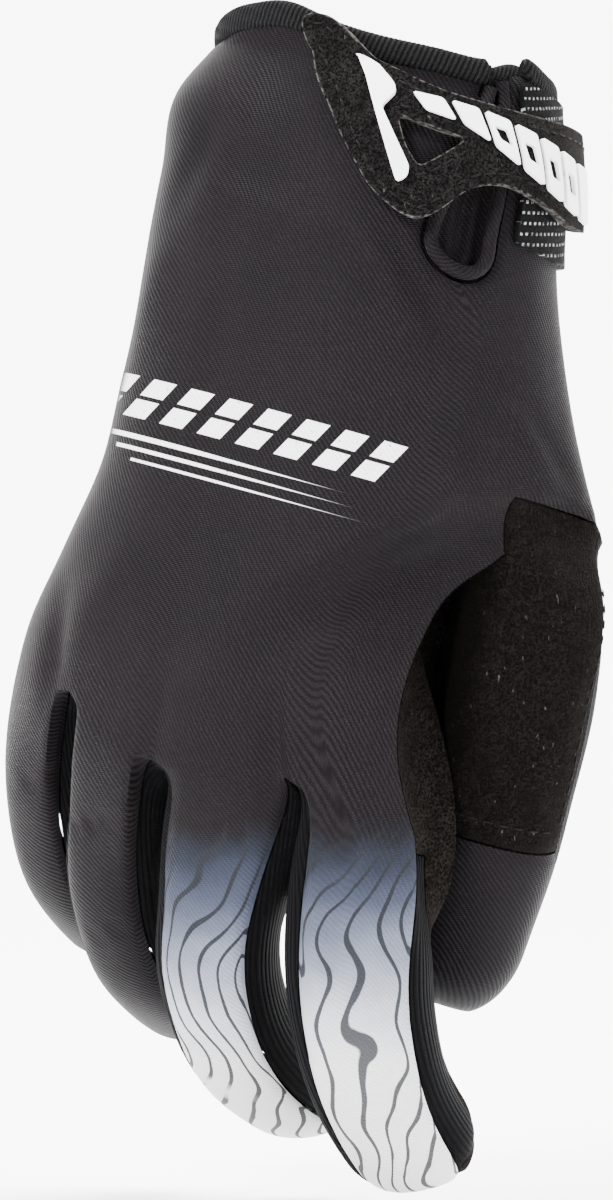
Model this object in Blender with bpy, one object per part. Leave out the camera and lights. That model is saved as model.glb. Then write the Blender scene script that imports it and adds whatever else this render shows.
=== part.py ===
"""A right-hand riding glove, hollow, in the shape it has on a relaxed hand that hangs down.

Run with: blender --background --python part.py
Metres, +Z up. The origin is the centre of the wrist opening. The back of the hand faces -Y, the thumb lies
at +X and the fingers hang down along -Z.

The cloth is worked out first as one skin: a tube for the hand, one for each finger and one for the thumb,
each of them a grid of rings. The skin is then parted along its seams into the pieces of cloth that the glove
is sewn from, and each piece gets its thickness inwards.
"""

import math
from collections import namedtuple

import bpy
import numpy as np
from mathutils import Vector
from mathutils.geometry import delaunay_2d_cdt

# Driving sizes, in metres.
HAND_LENGTH = 0.131  # from the cuff's rim straight down to the webs of the fingers
PALM_WIDTH = 0.095  # across the knuckles
PALM_DEPTH = 0.034  # from the back to the palm, at the middle of the hand
INDEX_LENGTH = 0.077  # each finger from its web to its tip
MIDDLE_LENGTH = 0.088
RING_LENGTH = 0.080
LITTLE_LENGTH = 0.066
THUMB_LENGTH = 0.087  # from where the thumb parts from the hand
FINGER_WIDTH = 0.0235  # the index finger's, across its middle
FINGER_DEPTH = 0.0215
CLOTH = 0.0011  # the wall of every panel
SEAM_GAP = 0.0003  # between two pieces that are sewn together
SIDE_PULL = 0.0006  # by which the narrow pieces of the fingers and the thumb draw back from their seams
BINDING_HEIGHT = 0.0055  # the knitted tape that edges the cuff
BINDING_DEPTH = 0.0028
PIPING = 0.0026  # the round edging of the slit, across
TAB_THICKNESS = 0.0018  # the closure tab
RUBBER_THICKNESS = 0.0014  # the raised pieces on the tab
PATCH_THICKNESS = 0.0010  # the patch that the tab closes on
GUSSET_WALL = 0.0010  # the pleated cloth behind the slit
GUSSET_DEPTH = 0.0042  # how far its middle is let in

# The glove is measured as seen from its thumb's side, and then turned about Z so that its back faces -Y.
VIEW_TURN = 28.0  # degrees

# Sections of the hand, from the cuff down. down is a share of HAND_LENGTH. aside, back, width and thumb are
# shares of PALM_WIDTH: aside is towards the thumb, back is away from the viewer, and thumb is how far the
# ball of the thumb swells the section. depth is a share of PALM_DEPTH, and arch of the section's own width.
# turn and lean are in degrees.
Section = namedtuple("Section", "down aside back width depth arch turn lean thumb")
SECTIONS = (
    Section(0.00, 0.000, 0.000, 0.69, 1.34, 0.02, 20, 13, 0.00),
    Section(0.08, -0.037, -0.005, 0.79, 1.44, 0.02, 20, 14, 0.00),
    Section(0.20, -0.068, -0.015, 0.81, 1.44, 0.03, 22, 15, 0.02),
    Section(0.35, -0.103, -0.030, 0.83, 1.38, 0.04, 24, 16, 0.075),
    Section(0.50, -0.144, -0.045, 0.85, 1.29, 0.05, 26, 16, 0.165),
    Section(0.62, -0.182, -0.055, 0.880, 1.20, 0.07, 27, 16, 0.25),
    Section(0.75, -0.248, -0.065, 0.94, 1.10, 0.09, 28, 16, 0.15),
    Section(0.88, -0.306, -0.070, 1.01, 1.02, 0.11, 28, 16, 0.05),
    Section(1.00, -0.335, -0.070, 1.05, 0.92, 0.12, 28, 16, 0.0),
    Section(1.12, -0.350, -0.060, 1.05, 0.86, 0.12, 28, 16, 0.0),
)
SQUARENESS = 0.86  # 1 is an ellipse, and less is squarer

# Where the thumb parts from the hand, as a share of HAND_LENGTH. Angles round the hand are in degrees, 0 at
# the thumb's side and 90 out of the back.
THUMB_SPLIT = 0.60
CROTCH_BACK = 12.0
CROTCH_PALM = -68.0
THUMB_SIDE = -28.0  # the way in which the ball of the thumb swells
SWELL_SHARE = 0.13  # of HAND_LENGTH, in which the palm loses that swelling below the thumb's root
LITTLE_SEAM = -155.0  # where the palm's cloth ends on the little finger's side
SEAM_BULGE = 14.0  # how far the palm's cloth comes round to the back beside the index finger

# The webs, from the little finger's outer side to the index finger's: how far across the section each lies,
# from -1 to 1, and how far down on the back and in the palm, as shares of HAND_LENGTH.
Web = namedtuple("Web", "across back palm")
WEBS = (
    Web(-0.90, 0.93, 0.96),
    Web(-0.52, 0.944, 0.975),
    Web(-0.06, 1.005, 1.02),
    Web(0.48, 0.970, 1.01),
    Web(0.91, 1.010, 1.02),
)

# The rim of the cuff isn't level: how far it stands up at each angle round the wrist, as a share of
# HAND_LENGTH.
Rim = namedtuple("Rim", "angle rise")
RIM = (
    Rim(-155, -0.030),
    Rim(-90, -0.028),
    Rim(-30, -0.010),
    Rim(0, 0.006),
    Rim(24, 0.020),
    Rim(40, 0.002),
    Rim(62, 0.000),
    Rim(88, 0.003),
    Rim(108, 0.023),
    Rim(125, 0.013),
    Rim(160, -0.016),
    Rim(205, -0.030),
)

# The columns of the back's cloth at the cuff: how far across, 0 at the little finger's side and 1 at the
# index finger's, and the angle round the wrist. The slit lies between two of them.
Column = namedtuple("Column", "share angle")
CUFF_COLUMNS = (
    Column(0.0, 190),
    Column(0.25, 150),
    Column(0.5, 106),
    Column(0.75, 62),
    Column(0.8125, 52),
    Column(0.875, 28),
    Column(1.0, CROTCH_BACK),
)
SLIT_FIRST = 13  # the slit lies between this column and the next

# The slit's two edges: angles round the wrist at shares of HAND_LENGTH.
Slit = namedtuple("Slit", "down left right")
SLIT = (Slit(0.0, 42, 29), Slit(0.08, 49, 28), Slit(0.18, 56, 28), Slit(0.30, 56, 26))
BINDING_REACH = 3.5  # degrees by which the rim's tape reaches over the slit on either side
SLIT_FOOT = 0.05  # the share of HAND_LENGTH in which its foot rounds off

# The fold that the back's cloth makes over the root of the thumb: where its ridge runs, as angles round the
# hand and shares down it.
Ridge = namedtuple("Ridge", "angle down")
RIDGE = (Ridge(-75, 0.66), Ridge(-30, 0.58), Ridge(0, 0.545), Ridge(30, 0.60), Ridge(55, 0.66), Ridge(80, 0.76))
FOLD_DEPTH = 0.0040  # the dip just below the ridge
FOLD_SHARE = 0.065  # of HAND_LENGTH, from the ridge to the bottom of the dip

# Fingers: length, then width and depth as shares of the index finger's. lean and curl are for the three
# stretches between its joints: towards the thumb and away from the viewer. turn is how far its back is
# turned from the viewer. All in degrees.
Finger = namedtuple("Finger", "name length width depth lean curl turn")
FINGERS = (
    Finger("little", LITTLE_LENGTH, 0.76, 0.86, (-8, 14, 42), (22, 38, 54), 46),
    Finger("ring", RING_LENGTH, 0.87, 0.95, (-12, 18, 50), (18, 42, 62), 34),
    Finger("middle", MIDDLE_LENGTH, 0.94, 1.00, (-17, 16, 54), (13, 33, 52), 22),
    Finger("index", INDEX_LENGTH, 1.14, 1.00, (-8, 10, 32), (5, 21, 38), 8),
)
THUMB = Finger("thumb", THUMB_LENGTH, 1.15, 1.16, (-8, -13, -18), (10, 12, 16), 4)
STRETCH_SHARES = (0.0, 0.15, 0.5, 0.85, 1.0)  # where along a finger those leans and curls hold
FINGER_TAPER = 0.16  # how much narrower a finger is at its tip than at its root
SEAM_ANGLE = 42.0  # of a finger's seams, from its side
TIP_SHARE = 0.17  # the share of a finger's length in which it rounds off
TIP_WIDTH = 0.50  # the width left at the seam across its tip
WEB_GAP = 0.0026  # between two fingers' sides, where they part
WEB_RADIUS = 0.0080  # how far below a web the backs of two fingers are fully apart
JOIN_LENGTH = 0.028  # in which a finger takes on its own section

# Flat pieces laid round the wrist: corners as angles round it and shares of HAND_LENGTH down it.
Corner = namedtuple("Corner", "angle down")
TAB_TOP = ((101, -0.040), (98, -0.056), (92, -0.058), (86, -0.028), (80, -0.004), (70, 0.012), (60, 0.022))
TAB_TOP += ((50, 0.026), (30, 0.030), (0, 0.027), (-30, 0.032), (-55, 0.045), (-66, 0.068), (-68, 0.095))
TAB_FOOT = ((-62, 0.123), (-45, 0.138), (-20, 0.147), (0, 0.150), (8, 0.143), (17, 0.132), (27, 0.124))
TAB_FOOT += ((34, 0.121), (41, 0.127), (47, 0.140), (53, 0.176), (59, 0.196), (64, 0.193), (69, 0.182))
TAB_FOOT += ((74, 0.168), (78, 0.144), (83, 0.114), (87, 0.084), (91, 0.052), (96, 0.012))
TAB = [Corner(*c) for c in TAB_TOP + TAB_FOOT]
TAB_HOLE = [Corner(*c) for c in ((71, 0.066), (50, 0.078), (62, 0.126), (67, 0.102))]
WEDGE = [Corner(*c) for c in ((88, -0.013), (76, 0.028), (74.5, 0.046), (76, 0.064), (66, 0.134), (69, 0.150))]
LOOP_PATCH = [Corner(*c) for c in ((23, 0.022), (23, 0.190), (-38, 0.200), (-38, 0.030))]
# Raised bars in a row along the tab, each from its first angle to its last and from its top to its foot.
Bar = namedtuple("Bar", "first last top foot")
BARS = (
    Bar(66, 56, 0.034, 0.054),
    Bar(54, 44.5, 0.036, 0.066),
    Bar(43, 33.5, 0.042, 0.088),
    Bar(32, 23, 0.050, 0.104),
    Bar(21.5, 13, 0.058, 0.118),
    Bar(11.5, 3, 0.066, 0.130),
    Bar(1.5, -7, 0.074, 0.140),
)
BAR_SLANT = 3.0  # degrees by which a bar's foot lies further round than its top
# How far the tab's inner face stands off the cuff at angles round the wrist, in metres.
Lift = namedtuple("Lift", "angle height")
TAB_LIFT = (Lift(-70, 0.0022), Lift(-35, 0.0030), Lift(0, 0.0031), Lift(35, 0.0026), Lift(70, 0.0016), Lift(102, 0.0011))
PLATE_GAP = 0.0006  # between a flat piece and what it lies on
WRIST_RADIUS = 0.036  # by which angles become lengths when a flat piece is cut up

# How many faces the cloth has: across a finger's back, across its side, round the thumb's outer side, and
# the rows along each stretch, as shares of it.
BACK_FACES = 4
SIDE_FACES = 3
THUMB_FACES = 9
CUFF_ROWS = (0.0, 0.08, 0.16, 0.235, 0.30, 0.355, 0.40, 0.42, 0.43, 0.50, 0.59, 0.68, 0.77, 0.85, 0.93, 1.0)
SLIT_ROWS = 8  # how many of those rows of faces the slit runs down
SLIT_BOTTOM = CUFF_ROWS[SLIT_ROWS] * THUMB_SPLIT
HAND_ROWS = (0.0, 0.05, 0.13, 0.22, 0.32, 0.44, 0.58, 0.72, 0.86, 1.0)
FINGER_ROWS = (0.0, 0.025, 0.055, 0.09, 0.14, 0.22, 0.33, 0.45, 0.57, 0.68, 0.78, 0.86, 0.92, 0.96, 0.985, 1.0)
THUMB_ROWS = (0.0, 0.03, 0.07, 0.12, 0.20, 0.29, 0.39, 0.49, 0.59, 0.69, 0.78, 0.86, 0.92, 0.96, 0.985, 1.0)
SIDE_ROWS = 12  # how many rows of a finger's faces its side pieces run down
PATCH_ROWS = 8  # how many rows of the thumb's faces the suede patch runs down
PATCH_TOP = 2  # how many rows it reaches up the hand

ACROSS_WEBS = len(WEBS) - 1
BACK_COLUMNS = ACROSS_WEBS * BACK_FACES
PANELS = (
    "back_panel",
    "palm_panel",
    "fourchette_little_ring",
    "fourchette_ring_middle",
    "fourchette_middle_index",
    "index_side",
    "thumb_back",
    "thumb_patch",
    "thumb_palm",
)
BACK, PALM, FIRST_FOURCHETTE, INDEX_SIDE, THUMB_BACK, THUMB_PATCH, THUMB_PALM = 0, 1, 2, 5, 6, 7, 8
NO_PANEL = -1


def spline(x, xs, ys):
    """A smooth curve through a table: cubic pieces that share a slope at each row."""
    xs, ys = np.asarray(xs, float), np.asarray(ys, float)
    x = np.clip(np.asarray(x, float), xs[0], xs[-1])
    slope = np.gradient(ys, xs)
    k = np.clip(np.searchsorted(xs, x, side="right") - 1, 0, len(xs) - 2)
    h = xs[k + 1] - xs[k]
    t = (x - xs[k]) / h
    start = ys[k] * (1 + 2 * t) * (1 - t) ** 2 + slope[k] * h * t * (1 - t) ** 2
    end = ys[k + 1] * t * t * (3 - 2 * t) + slope[k + 1] * h * t * t * (t - 1)
    return start + end


def ease(t):
    """From 0 to 1 with no slope at either end."""
    t = np.clip(t, 0, 1)
    return t * t * (3 - 2 * t)


def unit(v):
    return v / np.maximum(np.linalg.norm(v, axis=-1, keepdims=True), 1e-12)


def signed_power(v, power):
    return np.sign(v) * np.abs(v) ** power


def section(name, s):
    """One column of SECTIONS at shares s down the hand."""
    return spline(s, [r.down for r in SECTIONS], [getattr(r, name) for r in SECTIONS])


def fold(s, degrees):
    """How far the cloth stands out of the hand's own section: a dip below the ridge over the thumb's root."""
    ridge = spline(degrees, [r.angle for r in RIDGE], [r.down for r in RIDGE])
    t = np.maximum((s - ridge) / FOLD_SHARE, 0)
    reach = ease((degrees + 75) / 40) * ease((88 - degrees) / 50)
    return -FOLD_DEPTH * t * np.exp(1 - t) * reach


def hand_point(s, degrees):
    """Points of the skin at shares s down the hand and angles round it.

    A section is a squared ellipse, bent back at both sides by its arch and swollen by the ball of the
    thumb. It is then turned about the hand's own line, and leant in the picture's plane.
    """
    s, degrees = np.broadcast_arrays(np.asarray(s, float), np.asarray(degrees, float))
    angle = np.radians(degrees)
    half_width = section("width", s) * PALM_WIDTH / 2
    half_depth = section("depth", s) * PALM_DEPTH / 2
    share_across = signed_power(np.cos(angle), SQUARENESS)
    stand = fold(s, degrees)
    across = half_width * share_across + stand * np.cos(angle)
    out = half_depth * signed_power(np.sin(angle), SQUARENESS) + stand * np.sin(angle)
    out = out - section("arch", s) * 2 * half_width * (share_across**2 - 1 / 3)
    first, last = CROTCH_BACK + 14, CROTCH_PALM - 14
    share = np.clip((first - degrees) / (first - last), 0, 1)
    left = 1 - ease((s - THUMB_SPLIT) / SWELL_SHARE)
    swell = section("thumb", s) * PALM_WIDTH * np.sin(np.pi * share) ** 1.2 * left
    across = across + swell * math.cos(math.radians(THUMB_SIDE))
    out = out + swell * math.sin(math.radians(THUMB_SIDE))
    turn, lean = np.radians(section("turn", s)), np.radians(section("lean", s))
    x = section("aside", s) * PALM_WIDTH + (across * np.cos(turn) - out * np.sin(turn)) * np.cos(lean)
    y = section("back", s) * PALM_WIDTH - across * np.sin(turn) - out * np.cos(turn)
    z = -s * HAND_LENGTH - (across * np.cos(turn) - out * np.sin(turn)) * np.sin(lean)
    return np.stack([x, y, z], -1)


def hand_normal(s, degrees):
    """Outward normals of the hand, from small steps along it and round it."""
    s, degrees = np.broadcast_arrays(np.asarray(s, float), np.asarray(degrees, float))
    down = hand_point(s + 0.01, degrees) - hand_point(s - 0.01, degrees)
    round_it = hand_point(s, degrees - 2) - hand_point(s, degrees + 2)
    return unit(np.cross(down, round_it))


def web_angle(across):
    """The angle round the section of a point this far across it, on the back."""
    return np.degrees(np.arccos(signed_power(np.asarray(across, float), 1 / SQUARENESS)))


def web_values(name, shares):
    return np.interp(np.asarray(shares) * ACROSS_WEBS, np.arange(len(WEBS)), [getattr(w, name) for w in WEBS])


def back_angles(s, shares):
    """Angles round the hand of the back's columns, from the little finger's side to the index finger's."""
    cuff = np.interp(shares, [c.share for c in CUFF_COLUMNS], [c.angle for c in CUFF_COLUMNS])
    below = np.clip((s - THUMB_SPLIT) / (1 - THUMB_SPLIT), 0, 1)
    bulge = SEAM_BULGE * np.sin(np.pi * below) * ease((shares - 0.6) / 0.4)
    mix = np.where(shares > 0.99, ease(below), ease((s - 0.05) / 0.9))
    return cuff * (1 - mix) + web_angle(web_values("across", shares)) * mix + bulge


def palm_angles(s, shares):
    """Angles of the palm's columns, from the index finger's side to the little finger's."""
    heel = CROTCH_PALM + (LITTLE_SEAM - CROTCH_PALM) * shares
    mix = ease((s - THUMB_SPLIT) / (1 - THUMB_SPLIT))
    return heel * (1 - mix) - web_angle(web_values("across", 1 - shares)) * mix


def rim_share(degrees):
    """How far down the rim lies at angles round the wrist, as a share of HAND_LENGTH."""
    inside = (np.asarray(degrees, float) + 155) % 360 - 155
    return -spline(inside, [r.angle for r in RIM], [r.rise for r in RIM])


def slit_angles(s, plain):
    """The two edges of the slit at a share s down the hand. Below its foot they go back to plain columns."""
    own = np.array([spline(s, [r.down for r in SLIT], [getattr(r, side) for r in SLIT]) for side in ("left", "right")])
    t = np.clip((s - (SLIT_BOTTOM - SLIT_FOOT)) / SLIT_FOOT, 0, 1)
    narrow = math.sqrt(max(1 - t * t, 0.0144)) + 0.6 * ease((s - SLIT_BOTTOM) / 0.08)
    own = own.mean() + (own - own.mean()) * min(narrow, 1)
    mix = ease((s - SLIT_BOTTOM) / 0.12)
    return own * (1 - mix) + plain * mix


def cuff_angles(s):
    """Angles of one ring of the cuff: back, outer side of the thumb, palm, little finger's side."""
    shares = np.linspace(0, 1, BACK_COLUMNS + 1)
    back = back_angles(s, shares)
    back[SLIT_FIRST : SLIT_FIRST + 2] = slit_angles(s, back[SLIT_FIRST : SLIT_FIRST + 2])
    outer = np.linspace(back[-1], CROTCH_PALM, THUMB_FACES + 1)[1:-1]
    palm = palm_angles(s, shares)
    little = np.linspace(palm[-1], back[0] - 360, SIDE_FACES + 1)[1:]
    return np.concatenate([back, outer, palm, little])


def cuff_ring(s, angles):
    return hand_point(s + rim_share(angles) * (1 - ease(s / 0.2)), angles)


def cuff_grid():
    """Rings from the rim to where the thumb parts."""
    return np.array([cuff_ring(row * THUMB_SPLIT, cuff_angles(row * THUMB_SPLIT)) for row in CUFF_ROWS])


def side_bow(first, last, amount):
    """Points from one edge of the index side to the other, bowed towards the thumb."""
    side = np.linspace(0, 1, SIDE_FACES + 1)[1:-1, None]
    chord = last - first
    out = unit(np.cross([0.0, 0.0, 1.0], chord))
    bow = 4 * side * (1 - side) * np.linalg.norm(chord) * amount
    return first + chord * side + out * bow


def hand_grid():
    """Rings from where the thumb parts to the webs: back, index side, palm, little finger's side."""
    shares = np.linspace(0, 1, BACK_COLUMNS + 1)
    side = np.linspace(0, 1, SIDE_FACES + 1)
    back_ends, palm_ends = web_values("back", shares), web_values("palm", 1 - shares)
    little_ends = (palm_ends[-1] + (back_ends[0] - palm_ends[-1]) * side)[1:]
    rings = []
    for row in HAND_ROWS:
        s_back = THUMB_SPLIT + (back_ends - THUMB_SPLIT) * row
        s_palm = THUMB_SPLIT + (palm_ends - THUMB_SPLIT) * row
        s_little = THUMB_SPLIT + (little_ends - THUMB_SPLIT) * row
        back = np.diag(back_angles(s_back[:, None], shares[None, :]))
        palm = np.diag(palm_angles(s_palm[:, None], shares[None, :]))
        little = np.linspace(palm[-1], back[0] - 360, SIDE_FACES + 1)[1:]
        back_points, palm_points = hand_point(s_back, back), hand_point(s_palm, palm)
        bow = side_bow(back_points[-1], palm_points[0], 0.24 * ease(row / 0.6))
        rings.append(np.concatenate([back_points, bow, palm_points, hand_point(s_little, little)]))
    return np.array(rings)


def centreline(finger, shares):
    """How far from its root a finger's middle lies at shares of its length, and its direction there."""
    fine = np.linspace(0, 1, 81)
    lean = np.radians(spline(fine, STRETCH_SHARES, [finger.lean[k] for k in (0, 0, 1, 2, 2)]))
    curl = np.radians(spline(fine, STRETCH_SHARES, [finger.curl[k] for k in (0, 0, 1, 2, 2)]))
    way = np.stack([np.sin(lean) * np.cos(curl), np.sin(curl), -np.cos(lean) * np.cos(curl)], -1)
    steps = (way[1:] + way[:-1]) / 2 * np.diff(fine)[:, None] * finger.length
    along = np.concatenate([np.zeros((1, 3)), np.cumsum(steps, axis=0)])
    middle = np.stack([np.interp(shares, fine, along[:, k]) for k in range(3)], -1)
    return middle, unit(np.stack([np.interp(shares, fine, way[:, k]) for k in range(3)], -1))


def finger_grid(finger, base, above, angles, parted, rows, root_gap):
    """Rings of a finger or the thumb, from its root ring (base) to the seam across its tip.

    Each point is the finger's own section plus what is left of the step from it to the root ring. That
    step goes slowly, and the finger starts in the direction in which the hand ends. In the parted columns,
    where two fingers part, the step goes quickly, in a round arch. Of a finger that is its part across the
    finger only, and of the thumb all of it.
    """
    rows = np.asarray(rows)
    angle = np.radians(angles)
    middle, way = centreline(finger, rows)
    turn = math.radians(finger.turn)
    wide = np.array([math.cos(turn), -math.sin(turn), 0.0])
    wide = unit(wide - way * (way @ wide)[:, None])
    out = np.cross(way, wide)
    centre = base[:-1].mean(axis=0)
    root_width = np.ptp((base - centre) @ wide[0]) - root_gap
    root_depth = np.ptp((base - centre) @ out[0])
    own = ease(rows * finger.length / JOIN_LENGTH)
    taper = 1 + FINGER_TAPER * (0.5 - rows)
    width = root_width * (1 - own) + finger.width * FINGER_WIDTH * taper * own
    depth = root_depth * (1 - own) + finger.depth * FINGER_DEPTH * taper * own
    q = np.clip((rows - (1 - TIP_SHARE)) / TIP_SHARE, 0, 1)
    width = width * np.sqrt(1 - (1 - TIP_WIDTH**2) * q * q)
    depth = depth * np.sqrt(1 - q * q)
    points = centre + middle[:, None]
    points = points + wide[:, None] * (width[:, None] / 2 * signed_power(np.cos(angle), SQUARENESS))[..., None]
    points = points + out[:, None] * (depth[:, None] / 2 * signed_power(np.sin(angle), SQUARENESS))[..., None]
    step = base - points[0]
    run = rows * finger.length
    slow = 1 - ease(run / JOIN_LENGTH)
    quick = 1 - np.sqrt(1 - (1 - np.clip(run / WEB_RADIUS, 0, 1)) ** 2)
    left = np.where(parted[None, :], quick[:, None], slow[:, None])
    start = np.where(parted[:, None], 0.0, unit(base - above) - way[0])
    lead = run * (1 - np.clip(run / JOIN_LENGTH, 0, 1)) ** 2
    down = (step @ way[0])[:, None] * way[0] * (finger is not THUMB)
    points = points + down * slow[:, None, None] + (step - down) * left[..., None]
    return points + start * lead[:, None, None]


def ring_angles():
    """Angles of a finger's ring: back, index side, palm, little side."""
    a = SEAM_ANGLE
    back = np.linspace(180 - a, a, BACK_FACES + 1)
    side = np.linspace(a, -a, SIDE_FACES + 1)[1:-1]
    palm = np.linspace(-a, a - 180, BACK_FACES + 1)
    little = np.linspace(a - 180, -180 - a, SIDE_FACES + 1)[1:]
    return np.concatenate([back, side, palm, little])


def between(a, b):
    """The points inside a straight line of SIDE_FACES steps."""
    return a + (b - a) * np.linspace(0, 1, SIDE_FACES + 1)[1:-1, None]


def finger_roots(ring, above):
    """The root ring of each finger, from the hand's last ring, and the same points of the ring above."""
    palm_start = BACK_COLUMNS + SIDE_FACES
    roots = []
    for k in range(len(FINGERS)):
        back = slice(k * BACK_FACES, (k + 1) * BACK_FACES + 1)
        palm_last = palm_start + BACK_COLUMNS - k * BACK_FACES
        palm = slice(palm_last - BACK_FACES, palm_last + 1)
        pair = []
        for points in (ring, above):
            index_side = between(points[back][-1], points[palm][0])
            little_side = between(points[palm][-1], points[back][0])
            if k == len(FINGERS) - 1:
                index_side = points[BACK_COLUMNS + 1 : palm_start]
            if k == 0:
                little_side = points[palm_start + BACK_COLUMNS + 1 : -1]
            pair.append(np.concatenate([points[back], index_side, points[palm], little_side, points[back][:1]]))
        roots.append(pair)
    return roots


def labels_of(shape, *parts):
    """Which panel each face of a grid belongs to. Each part is (panel, rows, columns)."""
    labels = np.full(shape, NO_PANEL)
    for panel, rows, columns in parts:
        labels[rows, columns] = panel
    return labels


def skin():
    """All the grids of the skin, each with its faces' panels."""
    cuff, hand = cuff_grid(), hand_grid()
    every = slice(None)
    first_palm = BACK_COLUMNS + THUMB_FACES
    top = slice(-PATCH_TOP, None)
    grids = [
        (
            cuff,
            labels_of(
                (len(CUFF_ROWS) - 1, cuff.shape[1] - 1),
                (BACK, every, every),
                (PALM, every, slice(BACK_COLUMNS + 6, first_palm + BACK_COLUMNS)),
                (THUMB_PATCH, top, slice(BACK_COLUMNS, BACK_COLUMNS + 4)),
                (NO_PANEL, slice(0, SLIT_ROWS), SLIT_FIRST),
            ),
        ),
        (
            hand,
            labels_of(
                (len(HAND_ROWS) - 1, hand.shape[1] - 1),
                (BACK, every, every),
                (PALM, every, slice(BACK_COLUMNS, 2 * BACK_COLUMNS + SIDE_FACES)),
            ),
        ),
    ]
    angles = ring_angles()
    index_columns = slice(BACK_FACES, BACK_FACES + SIDE_FACES)
    little_columns = slice(2 * BACK_FACES + SIDE_FACES, None)
    side_rows = slice(0, SIDE_ROWS)
    for k, (base, above) in enumerate(finger_roots(hand[-1], hand[-2])):
        on_index = np.isin(np.arange(len(angles)), np.arange(BACK_FACES, BACK_FACES + SIDE_FACES + 1))
        on_little = ~np.isin(np.arange(len(angles)), np.arange(1, 2 * BACK_FACES + SIDE_FACES))
        parted = (on_index & (k < 3)) | (on_little & (k > 0))
        grid = finger_grid(FINGERS[k], base, above, angles, parted, FINGER_ROWS, WEB_GAP)
        parts = [(PALM, every, every), (BACK, every, slice(0, BACK_FACES))]
        if k < 3:
            parts.append((FIRST_FOURCHETTE + k, side_rows, index_columns))
        else:
            parts.append((INDEX_SIDE, side_rows, slice(BACK_FACES, BACK_FACES + 2)))
        if k > 0:
            parts.append((FIRST_FOURCHETTE + k - 1, side_rows, little_columns))
        else:
            parts.append((BACK, side_rows, little_columns))
        grids.append((grid, labels_of((len(FINGER_ROWS) - 1, len(angles) - 1), *parts)))
    grids.append(thumb(cuff, hand))
    return grids


def thumb(cuff, hand):
    """The thumb's grid and panels: outer side from back to palm, then the side towards the hand."""
    outer = slice(BACK_COLUMNS, BACK_COLUMNS + THUMB_FACES + 1)
    seam = 180 - SEAM_ANGLE
    angles = np.concatenate([
        np.linspace(seam, -seam, THUMB_FACES + 1),
        np.linspace(-seam, seam - 360, SIDE_FACES + 1)[1:],
    ])
    web = hand[0][BACK_COLUMNS + 1 : BACK_COLUMNS + SIDE_FACES][::-1]
    base = np.concatenate([cuff[-1][outer], web, cuff[-1][outer][:1]])
    above = np.concatenate([cuff[-2][outer], web, cuff[-2][outer][:1]])
    parted = np.arange(len(angles)) >= THUMB_FACES
    parted[0] = True
    grid = finger_grid(THUMB, base, above, angles, parted, THUMB_ROWS, 0.0)
    every, patch_rows = slice(None), slice(0, PATCH_ROWS)
    labels = labels_of(
        (len(THUMB_ROWS) - 1, len(angles) - 1),
        (THUMB_PALM, every, every),
        (THUMB_BACK, every, slice(0, 6)),
        (THUMB_PATCH, patch_rows, slice(0, 4)),
        (THUMB_PATCH, patch_rows, slice(THUMB_FACES, None)),
    )
    return grid, labels


def welded(grids):
    """One list of points and one of faces from all grids, with points that coincide made one."""
    points, faces, labels, start = [], [], [], 0
    for grid, panel in grids:
        rows, columns = grid.shape[:2]
        corner = np.arange(rows * columns).reshape(rows, columns) + start
        quads = np.stack([corner[:-1, :-1], corner[1:, :-1], corner[1:, 1:], corner[:-1, 1:]], -1)
        points.append(grid.reshape(-1, 3))
        faces.append(quads.reshape(-1, 4))
        labels.append(panel.reshape(-1))
        start += rows * columns
    points, faces, labels = np.concatenate(points), np.concatenate(faces), np.concatenate(labels)
    _, first, same = np.unique(np.round(points, 7), axis=0, return_index=True, return_inverse=True)
    return points[first], same.reshape(-1)[faces], labels


def face_loops(quads):
    """Each face's corners with repeated ones left out, so that a pinched quad is a triangle."""
    return [[int(f[k]) for k in range(4) if f[k] != f[k - 1]] for f in quads]


def point_normals(points, quads):
    """Outward normals, each face weighted by its area."""
    across = np.cross(points[quads[:, 2]] - points[quads[:, 0]], points[quads[:, 3]] - points[quads[:, 1]])
    normals = np.zeros_like(points)
    for k in range(4):
        np.add.at(normals, quads[:, k], across)
    return unit(normals)


def edges_of(loops):
    """The directed edges of the faces that have no face on their other side."""
    edges = {(loop[k - 1], loop[k]) for loop in loops for k in range(len(loop))}
    return [edge for edge in edges if edge[::-1] not in edges]


def thick(points, normals, loops, wall, pull):
    """A closed wall under these faces, its border drawn back by pull."""
    border = edges_of(loops)
    inward = {}
    for a, b in border:
        way = unit(np.cross(normals[a] + normals[b], points[b] - points[a]))
        inward.setdefault(a, []).append(way)
        inward.setdefault(b, []).append(way)
    outer = points.copy()
    for corner, ways in inward.items():
        total = np.sum(ways, axis=0)
        both = float(np.clip(ways[0] @ ways[-1], -0.93, 1))
        outer[corner] += pull * total / len(ways) * 2 / (1 + both)
    inner = outer - normals * np.asarray(wall)
    used = sorted({corner for loop in loops for corner in loop})
    place = {corner: k for k, corner in enumerate(used)}
    count = len(used)
    faces = [[place[c] for c in loop] for loop in loops]
    faces += [[place[c] + count for c in reversed(loop)] for loop in loops]
    faces += [[place[b], place[a], place[a] + count, place[b] + count] for a, b in border]
    return np.concatenate([outer[used], inner[used]]), faces


def turned(points):
    """From the view in which the glove is measured to its own axes."""
    a = math.radians(VIEW_TURN)
    x, y, z = points.T
    return np.stack([x * math.cos(a) - y * math.sin(a), x * math.sin(a) + y * math.cos(a), z], -1)


def add_object(name, points, faces, colour, roughness):
    """A named mesh object with its own material."""
    mesh = bpy.data.meshes.new(name)
    mesh.from_pydata(turned(points).tolist(), [], faces)
    material = bpy.data.materials.new(name)
    material.use_nodes = True
    shader = material.node_tree.nodes["Principled BSDF"]
    shader.inputs["Base Color"].default_value = (*colour, 1.0)
    shader.inputs["Roughness"].default_value = roughness
    mesh.materials.append(material)
    made = bpy.data.objects.new(name, mesh)
    bpy.context.scene.collection.objects.link(made)
    return made


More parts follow.
